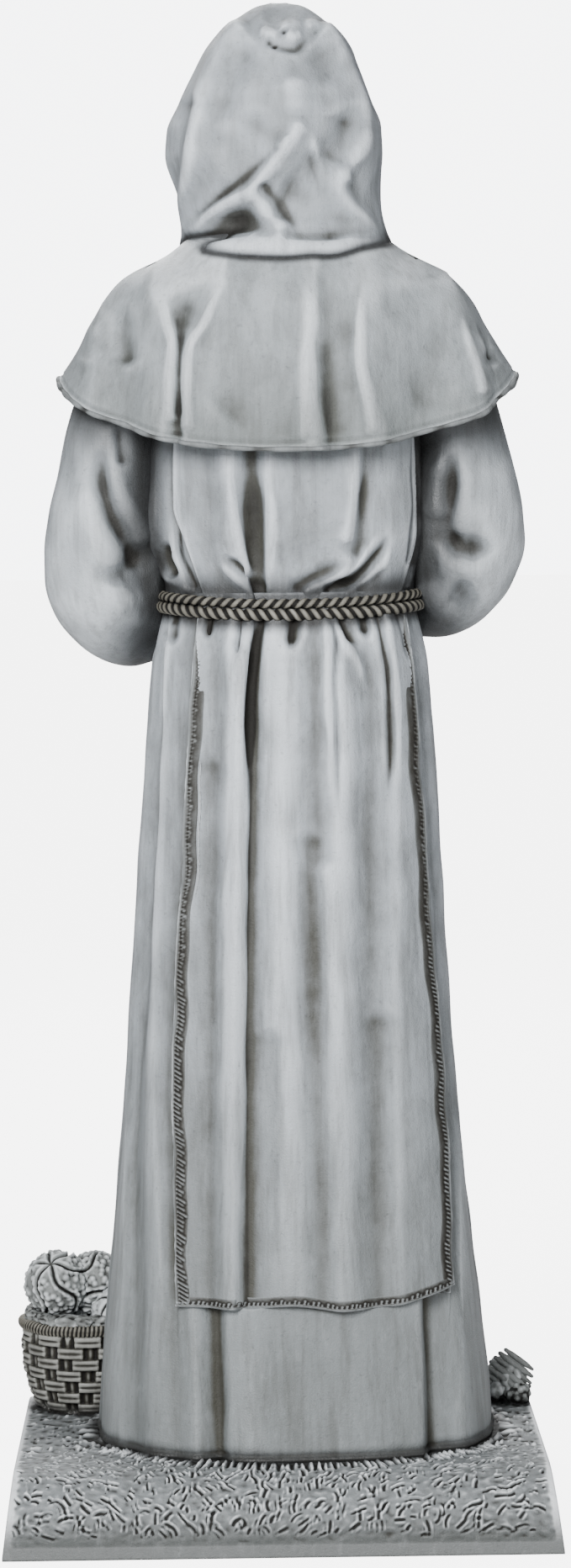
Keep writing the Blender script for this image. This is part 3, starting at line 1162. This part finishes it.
def basket():
    """The woven wall and the hollow that the heads lie in."""
    turn, share = np.meshgrid(turns_round(300), np.linspace(0, 1, 82))
    fade = share_of(share / 0.03)
    radius = basket_wall(share) * 1000 + weave(turn, share * 6.9 + 0.1) * fade
    radius += 0.35 * np.sin(3 * turn + share * 4)
    height = share * (BASKET_HEIGHT * 1000 - 8)
    wall = np.stack([radius * np.cos(turn), radius * np.sin(turn), height], axis=-1)
    start = wall[:1] * [0.97, 0.97, 1] - [0, 0, 6]
    inside = [wall[-1:] * [size, size, 0] + [0, 0, level]
              for size, level in ((0.94, 57), (0.86, 58), (0.82, 52), (0.8, 49))]
    return skin(np.concatenate([start, wall, *inside]) * UNIT + BASKET_GROUND)


def basket_rim():
    """The wrapped rim."""
    turn = turns_round(520)
    middle = BASKET_RIM * 1000 - 4.0
    sway = 0.35 * np.sin(5 * turn) + 0.25 * np.sin(11 * turn + 1)
    course = np.stack([(middle + sway * 0.5) * np.cos(turn), (middle + sway * 0.5) * np.sin(turn),
                       np.full_like(turn, BASKET_HEIGHT * 1000 - 4.6) + sway], axis=-1)
    around = turns_round(16)
    wraps = 102 * turn[:, None] + 0.9 * np.sin(around)[None, :]
    lobes = 0.70 + 0.32 * np.abs(np.sin(wraps / 2)) ** 0.6
    lobes = lobes * (1 + 0.12 * np.abs(np.sin(around))[None, :])
    return skin(loop_tube(course, 3.7, 16, lobes) * UNIT + BASKET_GROUND, closed=False)


def ball(level):
    """A round bmesh of radius 1."""
    mesh = bmesh.new()
    bmesh.ops.create_icosphere(mesh, subdivisions=level, radius=1.0)
    return mesh


def knobs(place, size, seed):
    """Round curds: 0 in the gaps between them and 1 on their crowns."""
    distances, _ = noise.voronoi(Vector(place) / size + Vector((seed, 0, 0)))
    return max(0.0, 1 - (distances[0] / 0.62) ** 2)


def vegetable(across, along, up, share, seed, level):
    """A knobbly head wrapped in leaves that part into sectors from its top."""
    mesh = ball(level)
    pole = Vector((0.20, 0.62, 0.76)).normalized()
    if seed:
        pole = Vector((math.sin(seed * 2.3), math.cos(seed * 1.7), 0.9)).normalized()
    side = pole.orthogonal().normalized()
    other = pole.cross(side)
    radius = CABBAGE * share
    for vertex in mesh.verts:
        unit = vertex.co.normalized()
        tilt = math.acos(max(-1.0, min(1.0, unit.dot(pole))))
        turn = math.atan2(unit.dot(other), unit.dot(side)) + 0.25 * math.sin(3 * tilt)
        place = turn / (2 * math.pi) * 6 + seed * 0.37
        off = abs(place - math.floor(place) - 0.5) * 2
        edge = (1 - off) * math.pi / 6 * math.sin(tilt) * radius * 1000
        crease = math.exp(-(edge / 1.25) ** 2)
        ridge = math.exp(-((edge - 2.6) / 1.1) ** 2)
        knobbly = min(1.0, max(0.0, (tilt - 0.35) / 0.35))
        curd = knobs(unit * radius, 0.0046, seed * 3.1 + 5)
        leaf = noise.noise(unit * 3.1 + Vector((seed, 2, 0)))
        out = (-2.3 * crease + 0.6 * ridge + 1.9 * knobbly * curd * (1 - crease) - 0.8 * knobbly + 0.5 * leaf)
        vertex.co = unit * (radius + out * UNIT)
    middle = Vector((across, along, up)) * CABBAGE
    middle += Vector(BASKET_GROUND) + Vector((0, 0, BASKET_HEIGHT))
    bmesh.ops.translate(mesh, vec=middle, verts=mesh.verts)
    return mesh


def leaf_tips():
    """Crinkled leaf tips lying over the rim between the heads."""
    parts = []
    for number in range(26):
        turn = 2 * math.pi * (number + 0.5 * chance(number, 31)) / 26
        reach = BASKET_RIM - 0.0075 - 0.004 * chance(number, 32)
        mesh = ball(3)
        for vertex in mesh.verts:
            vertex.co *= 1 + 0.28 * noise.noise(vertex.co * 2.2 + Vector((number * 1.7, 0, 0)))
        size = 0.0046 + 0.0022 * chance(number, 33)
        bmesh.ops.scale(mesh, vec=(size, size * 1.5, size * 0.75), verts=mesh.verts)
        spin = Matrix.Rotation(turn + 1.2 * (chance(number, 34) - 0.5), 4, "Z")
        lean = Matrix.Rotation(0.5 * (chance(number, 35) - 0.2), 4, "Y")
        place = Vector((reach * math.cos(turn), reach * math.sin(turn), BASKET_HEIGHT + 0.0015))
        bmesh.ops.transform(mesh, matrix=spin @ lean, verts=mesh.verts)
        bmesh.ops.translate(mesh, vec=place + Vector(BASKET_GROUND), verts=mesh.verts)
        parts.append(mesh)
    return joined(parts)


# Plants

def plant():
    """A clump of leaves with a sheaf of stalks laid slanting over it and a curled head at its foot."""
    heart = np.array([PLANT_PLACE[0], PLANT_PLACE[1], BASE_HEIGHT + PLANT_HEIGHT / 2 - STALK])
    reach = np.array([PLANT_REACH, PLANT_REACH * 1.15, PLANT_HEIGHT / 2])
    parts = []

    def lump(middle, radii, size, depth, seed, level=4):
        mesh = ball(level)
        for vertex in mesh.verts:
            unit = vertex.co.normalized()
            place = Vector([unit[way] * radii[way] for way in range(3)])
            vertex.co = place + unit * depth * (knobs(place, size, seed) - 0.5)
        bmesh.ops.translate(mesh, vec=middle, verts=mesh.verts)
        parts.append(mesh)

    lump(heart, reach - STALK, 0.0062, 0.0020, 1.0)
    lump(heart + [-reach[0] * 0.45, reach[1] * 0.55, -reach[2] * 0.5], reach * 0.52, 0.0048, 0.0018, 2.0)
    lump(heart + [reach[0] * 0.42, reach[1] * 0.62, -reach[2] * 0.34], reach * 0.36, 0.0042, 0.0014, 3.0, 3)
    for number in range(9):
        level = 1 - 2 * (number + 0.5) / 9
        lean = np.array([0.8, 0, 0.6])
        spread = np.array([-0.6, 0.35, 0.8]) * level
        middle = heart + [reach[0] * spread[0], reach[1] * (0.78 - 0.5 * abs(level)), reach[2] * spread[2]]
        run = PLANT_REACH * (0.95 - 0.35 * level * level)
        bow = 0.0012 * math.sin(number * 2.4)
        course = [middle + lean * run * share + np.array([0, bow * (1 - share * share), 0])
                  for share in (-1, -0.5, 0, 0.5, 1)]
        thick = [STALK * wide * (0.72 + 0.12 * (number % 2)) for wide in (0.5, 0.95, 1.0, 0.95, 0.7)]
        parts.append(skin(tube(course, thick, 12, 5)))
    for number in range(7):
        turn = number * 2.4
        foot = heart + [reach[0] * 0.75 * math.cos(turn), reach[1] * 0.75 * math.sin(turn), -reach[2] * 0.7]
        tip = foot + [0.004 * math.cos(turn), 0.004 * math.sin(turn), 0.005]
        parts.append(skin(tube([foot, (foot + tip) / 2 + [0, 0, 0.0015], tip],
                               [(0.0034, 0.0022), (0.0036, 0.0022), (0.0018, 0.0014)], 12, 5)))
    return joined(parts)


# What each spot of the surface shows: hollows, ridges and grime by its neighbours

def spread_over(mesh, values, times):
    """Values averaged with their neighbours a number of times."""
    edges = np.empty(len(mesh.edges) * 2, int)
    mesh.edges.foreach_get("vertices", edges)
    first, other = edges[0::2], edges[1::2]
    count = np.bincount(edges, minlength=len(values)).astype(float)[:, None]
    for _ in range(times):
        total = np.empty_like(values)
        for way in range(values.shape[1]):
            total[:, way] = (np.bincount(first, values[other, way], len(values))
                             + np.bincount(other, values[first, way], len(values)))
        values = 0.5 * values + 0.5 * total / np.maximum(count, 1)
    return values


def mark(made, neighbours, reach):
    """Stores how hollow, how raised and how close to its neighbours each vertex lies."""
    mesh = made.data
    count = len(mesh.vertices)
    place, normal = np.empty(count * 3), np.empty(count * 3)
    mesh.vertices.foreach_get("co", place)
    mesh.vertices.foreach_get("normal", normal)
    place, normal = place.reshape(-1, 3), normal.reshape(-1, 3)
    near_mean = spread_over(mesh, place, 4)
    far_mean = spread_over(mesh, near_mean, 50)
    fine = ((near_mean - place) * normal).sum(axis=1) * 1000
    broad = ((far_mean - place) * normal).sum(axis=1) * 1000
    fine = spread_over(mesh, fine[:, None], 1)[:, 0]
    if made.name in LEVELLED:
        fine, broad = fine - np.percentile(fine, 55), 1.5 * (fine - np.percentile(fine, 35))
    close = np.zeros(count)
    for tree in neighbours:
        for number, spot in enumerate(place.tolist()):
            found = tree.find_nearest(spot, reach)
            if found[3] is not None:
                close[number] = max(close[number], 1 - found[3] / reach)
    for name, values in (("fine", fine), ("broad", broad), ("close", close)):
        layer = mesh.attributes.new(name, "FLOAT", "POINT")
        layer.data.foreach_set("value", values.astype(np.float32))


# Stone finish

def tone(red, green, blue):
    """A colour given as on a paint chart, 0 to 255."""
    return tuple((part / 255 / 12.92 if part <= 10 else ((part / 255 + 0.055) / 1.055) ** 2.4)
                 for part in (red, green, blue)) + (1.0,)


def new_group(name, inputs, outputs):
    tree = bpy.data.node_groups.new(name, "ShaderNodeTree")
    for label, kind, value in inputs:
        socket = tree.interface.new_socket(label, in_out="INPUT", socket_type="NodeSocket" + kind)
        if value is not None:
            socket.default_value = value
    for label, kind in outputs:
        tree.interface.new_socket(label, in_out="OUTPUT", socket_type="NodeSocket" + kind)
    return tree, tree.nodes.new("NodeGroupInput").outputs, tree.nodes.new("NodeGroupOutput").inputs


def node(tree, kind, sockets=None, **settings):
    """A node with its settings, and its sockets fed from other sockets or given values."""
    made = tree.nodes.new("ShaderNode" + kind)
    for key, value in settings.items():
        setattr(made, key, value)
    for label, source in (sockets or {}).items():
        if isinstance(source, bpy.types.NodeSocket):
            tree.links.new(source, made.inputs[label])
        else:
            made.inputs[label].default_value = source
    return made


def reckon(tree, operation, *terms):
    return node(tree, "Math", dict(enumerate(terms)), operation=operation).outputs[0]


def between_levels(tree, value, start, end, low=0.0, high=1.0):
    """A soft step of value from start to end."""
    made = node(tree, "MapRange", {"Value": value, "From Min": start, "From Max": end,
                                   "To Min": low, "To Max": high},
                interpolation_type="SMOOTHSTEP")
    return made.outputs["Result"]


def clouds(tree, place, scale, detail=3.0, roughness=0.55, distortion=0.0):
    return node(tree, "TexNoise", {"Vector": place, "Scale": scale, "Detail": detail, "Roughness": roughness,
                                   "Distortion": distortion}).outputs["Fac"]


def stretched(tree, place, x, y, z):
    return node(tree, "Mapping", {"Vector": place, "Scale": (x, y, z)}).outputs["Vector"]


def blended(tree, share, first, second):
    return node(tree, "Mix", {"Factor": share, 6: first, 7: second}, data_type="RGBA").outputs[2]


def told_masks(tree, told, masks):
    """Links a group's masks to its outputs."""
    for label, source in masks.items():
        tree.links.new(source, told[label])
    return tree


def relief_group():
    """Masks from the marks on the surface: deep wash, broad recess and worn ridge."""
    tree, given, told = new_group(
        "relief", [("Place", "Vector", None), ("Hold", "Float", 1.0)],
        [("Deep", "Float"), ("Recess", "Float"), ("Worn", "Float"), ("Close", "Float")])
    fine, broad, close = (node(tree, "Attribute", attribute_name=name).outputs["Fac"]
                          for name in ("fine", "broad", "close"))
    uneven = clouds(tree, given["Place"], 70.0, 4.0, 0.6)
    streaky = clouds(tree, stretched(tree, given["Place"], 95, 95, 14), 1.0, 3.0, 0.6)
    uneven = reckon(tree, "MULTIPLY_ADD", reckon(tree, "ADD", uneven, streaky), 0.9, 0.1)
    held = reckon(tree, "MULTIPLY", given["Hold"], uneven)
    deep = between_levels(tree, reckon(tree, "MULTIPLY", fine, held), 0.03, 1.0)
    recess = between_levels(tree, reckon(tree, "MULTIPLY", broad, held), -0.4, 2.6)
    grime = between_levels(tree, close, 0.0, 0.85)
    proud = reckon(tree, "MULTIPLY_ADD", broad, -1.0, reckon(tree, "MULTIPLY", fine, -1.6))
    worn = between_levels(tree, proud,
                          0.1, 1.9)
    return told_masks(tree, told, {"Deep": deep, "Recess": recess, "Worn": worn, "Close": grime})


def mottling_group():
    """Tones of the stone itself: cloudy patches, upright streaks of thinned wash and small specks."""
    tree, given, told = new_group(
        "mottling", [("Place", "Vector", None)],
        [("Patch", "Float"), ("Streak", "Float"), ("Speck", "Float"), ("Fleck", "Float")])
    place = given["Place"]
    patch = clouds(tree, stretched(tree, place, 30, 30, 17), 1.0, 6.0, 0.68, 0.4)
    patch = between_levels(tree, patch, 0.36, 0.70)
    streak = clouds(tree, stretched(tree, place, 120, 120, 9), 1.0, 4.0, 0.65)
    streak = between_levels(tree, streak, 0.40, 0.72)
    speck = between_levels(tree, clouds(tree, place, 300.0, 4.0, 0.65), 0.56, 0.78)
    fleck = clouds(tree, stretched(tree, place, 170, 170, 70), 1.0, 4.0, 0.65)
    fleck = between_levels(tree, fleck, 0.50, 0.78)
    return told_masks(tree, told, {"Patch": patch, "Streak": streak, "Speck": speck, "Fleck": fleck})


def grain_group():
    """Fine surface of the casting: brushed wash, grain and small pits."""
    tree, given, told = new_group(
        "grain", [("Place", "Vector", None), ("Strength", "Float", 0.3)], [("Normal", "Vector")])
    place = given["Place"]
    brushed = clouds(tree, stretched(tree, place, 420, 420, 60), 1.0, 3.0, 0.6)
    grain = clouds(tree, place, 900.0, 2.0, 0.6)
    lumps = clouds(tree, place, 120.0, 3.0, 0.55)
    height = reckon(tree, "MULTIPLY_ADD", lumps, 1.6, reckon(tree, "MULTIPLY_ADD", brushed, 0.6, grain))
    bump = node(tree, "Bump", {"Strength": given["Strength"], "Distance": 0.0009, "Height": height})
    tree.links.new(bump.outputs["Normal"], told["Normal"])
    return tree


RELIEF, MOTTLING, GRAIN = relief_group(), mottling_group(), grain_group()


def stone(name, mid, pale, wash, dark=(18, 15, 10), hold=1.0, patchy=0.35, streaky=0.3, shaded=0.55,
          falls=None, worn=0.85):
    """Cast stone in its own tones. falls gives (low, high, colour): a tone that sets in towards a height."""
    mid, pale, wash, dark = (tone(*shade) for shade in (mid, pale, wash, dark))
    material = bpy.data.materials.new(name)
    material.use_nodes = True
    tree = material.node_tree
    tree.nodes.clear()
    place = node(tree, "TexCoord").outputs["Object"]
    relief, mottling, grain = (node(tree, "Group", node_tree=group) for group in (RELIEF, MOTTLING, GRAIN))
    for group in (relief, mottling, grain):
        tree.links.new(place, group.inputs["Place"])
    relief.inputs["Hold"].default_value = hold
    grain.inputs["Strength"].default_value = GRAIN_STRENGTH

    def washed(color, group, *layers):
        for mask, share, shade in layers:
            color = blended(tree, reckon(tree, "MULTIPLY", group.outputs[mask], share), color, shade)
        return color

    color = washed(mid, mottling, ("Patch", patchy, wash))
    color = washed(color, relief, ("Worn", worn, pale))
    if falls:
        low, high, low_tone = falls
        height = node(tree, "SeparateXYZ", {"Vector": place}).outputs["Z"]
        color = blended(tree, between_levels(tree, height, high, low, 0.0, 0.85), color, tone(*low_tone))
    color = washed(color, mottling, ("Streak", streaky, wash), ("Fleck", 0.08, pale))
    color = washed(color, relief, ("Recess", shaded, wash))
    color = washed(color, mottling, ("Speck", 0.30, dark))
    color = washed(color, relief, ("Close", 0.9, dark), ("Deep", 0.92, dark))
    rough = reckon(tree, "MULTIPLY_ADD", relief.outputs["Worn"], -0.14,
                   reckon(tree, "MULTIPLY_ADD", relief.outputs["Deep"], 0.22, 0.56))
    surface = node(tree, "BsdfPrincipled", {"Base Color": color, "Roughness": rough,
                                            "Normal": grain.outputs["Normal"]})
    surface.inputs["Specular IOR Level"].default_value = 0.42
    output = node(tree, "OutputMaterial")
    tree.links.new(surface.outputs["BSDF"], output.inputs["Surface"])
    return material


GRAIN_STRENGTH = 0.5
WET = (8, 6, 4)             # the darkest wash, left in the finest gaps
ROBE_STONE = stone("robe stone", (178, 185, 192), (232, 239, 246), (60, 58, 47), hold=1.3,
                   falls=(0.05, 0.50, (122, 127, 127)), shaded=0.9, streaky=0.36, patchy=0.38)
CAPE_STONE = stone("cape stone", (172, 179, 184), (230, 236, 241), (56, 56, 46), hold=1.2,
                   falls=(0.70, 0.80, (112, 118, 116)), patchy=0.36, shaded=0.8, streaky=0.26)
HOOD_STONE = stone("hood stone", (178, 185, 192), (236, 243, 250), (62, 60, 50), hold=1.4,
                   shaded=0.85, streaky=0.24, patchy=0.26)
SLEEVE_STONE = stone("sleeve stone", (176, 183, 189), (232, 239, 245), (54, 52, 42), hold=1.4,
                     shaded=0.85, streaky=0.3, patchy=0.26)
SEAM_STONE = stone("seam stone", (140, 145, 147), (226, 232, 236), (46, 42, 33), hold=6.0, shaded=0.9,
                   worn=0.8)
ROPE_STONE = stone("rope stone", (128, 125, 115), (244, 243, 234), (34, 30, 22), WET, hold=9.0, shaded=0.9,
                   worn=1.5)
SKIN_STONE = stone("face and hand stone", (168, 173, 178), (218, 224, 229), (70, 68, 60), hold=1.4)
SPADE_STONE = stone("spade stone", (148, 151, 152), (204, 208, 210), (66, 63, 54), hold=1.3)
SLAB_STONE = stone("slab stone", (134, 139, 141), (240, 244, 247), (50, 46, 37), (14, 12, 8), hold=3.6,
                   patchy=0.3, falls=(0.006, 0.036, (70, 73, 70)), shaded=0.6, worn=1.0, streaky=0.0)
BASKET_STONE = stone("basket stone", (58, 57, 51), (190, 191, 185), (34, 30, 22), WET, hold=2.4,
                     shaded=0.9, worn=0.65)
LEAF_STONE = stone("leaf stone", (146, 150, 149), (230, 235, 237), (36, 34, 27), WET, hold=3.4, shaded=0.9)


# The statue, put together

BUILT = (
    ("slab", slab, SLAB_STONE, ("skirt", "basket", "plant", "spade", "shoes")),
    ("skirt", skirt, ROBE_STONE, ("slab", "upper_strand", "lower_strand", "basket", "plant", "spade")),
    ("bodice", bodice, ROBE_STONE, ("upper_strand", "cape", "left_sleeve", "right_sleeve")),
    ("cape", cape, CAPE_STONE, ("hood",)),
    ("cape_hem", cape_hem, SEAM_STONE, ()),
    ("hood", hood, HOOD_STONE, ("cape", "head")),
    ("head", head, SKIN_STONE, ("hood",)),
    ("left_sleeve", lambda: sleeve(1), SLEEVE_STONE, ("cape", "bodice", "skirt")),
    ("right_sleeve", lambda: sleeve(-1), SLEEVE_STONE, ("cape", "bodice", "skirt")),
    ("hands", hands, SKIN_STONE, ("left_sleeve", "right_sleeve", "spade")),
    ("spade", spade, SPADE_STONE, ("hands", "slab")),
    ("upper_strand", lambda: rope(3.7, 3.4, 1, 0.0), ROPE_STONE, ("bodice", "lower_strand")),
    ("lower_strand", lambda: rope(-3.6, 4.1, -1, 0.6), ROPE_STONE, ("skirt", "upper_strand")),
    ("left_seam", lambda: side_seam(1), SEAM_STONE, ()),
    ("right_seam", lambda: side_seam(-1), SEAM_STONE, ()),
    ("scapular_hem", panel_hem, SEAM_STONE, ()),
    ("shoes", shoes, SPADE_STONE, ("slab", "skirt")),
    ("basket", basket, BASKET_STONE, ("slab", "skirt", "heads")),
    ("basket_rim", basket_rim, ROPE_STONE, ()),
    ("heads", lambda: joined([vegetable(*place, number if number != 4 else 0, 6 if number > 3 else 5)
                              for number, place in enumerate(HEADS)]), LEAF_STONE, ("basket",)),
    ("leaf_tips", leaf_tips, LEAF_STONE, ("heads", "basket")),
    ("plant", plant, LEAF_STONE, ("slab", "skirt")),
)

LEVELLED = ("upper_strand", "lower_strand", "cape_hem", "basket_rim", "leaf_tips", "plant", "left_seam",
            "right_seam", "scapular_hem")
GRIME_REACH = {"left_sleeve": 0.052, "right_sleeve": 0.058, "bodice": 0.022, "upper_strand": 0.0022,
               "lower_strand": 0.0022, "basket": 0.010, "heads": 0.006, "leaf_tips": 0.003, "plant": 0.008,
               "skirt": 0.011, "slab": 0.013, "cape": 0.006, "hood": 0.006}
meshes = {name: make() for name, make, _, _ in BUILT}
trees = {name: BVHTree.FromBMesh(mesh) for name, mesh in meshes.items()}
for name, _, material, neighbours in BUILT:
    mark(piece(name, meshes[name], material), [trees[other] for other in neighbours],
         GRIME_REACH.get(name, 0.007))

# Pale floor and soft studio light

DAYLIGHT, BACKDROP, FLOOR_GLOW = 0.18, 6.5, 5.8

floor_mesh = bmesh.new()
bmesh.ops.create_circle(floor_mesh, cap_ends=True, segments=64, radius=30.0)
floor_data = bpy.data.meshes.new("floor")
floor_mesh.to_mesh(floor_data)
floor_mesh.free()
floor = bpy.data.objects.new("floor", floor_data)
bpy.context.scene.collection.objects.link(floor)
floor_finish = bpy.data.materials.new("pale floor")
floor_finish.use_nodes = True
floor_surface = floor_finish.node_tree.nodes["Principled BSDF"]
floor_surface.inputs["Base Color"].default_value = (0.60, 0.60, 0.60, 1)
floor_surface.inputs["Roughness"].default_value = 0.8
floor_surface.inputs["Emission Color"].default_value = (1, 1, 1, 1)
floor_tree = floor_finish.node_tree
floor_seen = node(floor_tree, "LightPath").outputs["Is Camera Ray"]
floor_tree.links.new(reckon(floor_tree, "MULTIPLY", floor_seen, FLOOR_GLOW),
                     floor_surface.inputs["Emission Strength"])
floor_data.materials.append(floor_finish)


def soft_light(name, place, target, size, power):
    data = bpy.data.lights.new(name, "AREA")
    data.shape = "RECTANGLE"
    data.size, data.size_y = size
    data.energy = power
    light = bpy.data.objects.new(name, data)
    light.location = place
    light.rotation_mode = "QUATERNION"
    light.rotation_quaternion = (Vector(target) - Vector(place)).to_track_quat("-Z", "Y")
    bpy.context.scene.collection.objects.link(light)


soft_light("key", (0.9, 3.0, 1.8), (0, 0, 0.6), (1.1, 1.3), 150)
soft_light("fill", (-2.2, 2.2, 1.3), (0, 0, 0.55), (1.2, 1.6), 22)
soft_light("back", (0.3, -2.6, 2.2), (0, 0, 0.5), (1.6, 1.6), 60)

world = bpy.data.worlds.new("studio")
bpy.context.scene.world = world
world.use_nodes = True
seen = node(world.node_tree, "LightPath").outputs["Is Camera Ray"]
backdrop = world.node_tree.nodes["Background"]
backdrop.inputs["Color"].default_value = (0.97, 0.98, 1.0, 1)
world.node_tree.links.new(reckon(world.node_tree, "MULTIPLY_ADD", seen, BACKDROP - DAYLIGHT, DAYLIGHT),
                          backdrop.inputs["Strength"])

# Camera behind the figure, a little above its waist

CAMERA_TURN, CAMERA_ROLL = math.radians(179.4357), -0.0108
CAMERA_DISTANCE, CAMERA_HEIGHT = 3.0, 0.6984
CAMERA_AIM = (-0.0085, 0, 0.4948)
FOCAL_LENGTH, PICTURE_HEIGHT, SENSOR = 5267.7, 1864, 36     # the first two in pixels of the picture

camera_data = bpy.data.cameras.new("camera")
camera_data.sensor_width = SENSOR
camera_data.lens = FOCAL_LENGTH * SENSOR / PICTURE_HEIGHT
camera = bpy.data.objects.new("camera", camera_data)
camera.location = (CAMERA_DISTANCE * math.sin(CAMERA_TURN), -CAMERA_DISTANCE * math.cos(CAMERA_TURN),
                   CAMERA_HEIGHT)
aim = (camera.location - Vector(CAMERA_AIM)).to_track_quat("Z", "Y")
camera.rotation_mode = "QUATERNION"
camera.rotation_quaternion = aim @ Quaternion((0, 0, 1), CAMERA_ROLL)
bpy.context.scene.collection.objects.link(camera)
bpy.context.scene.camera = camera
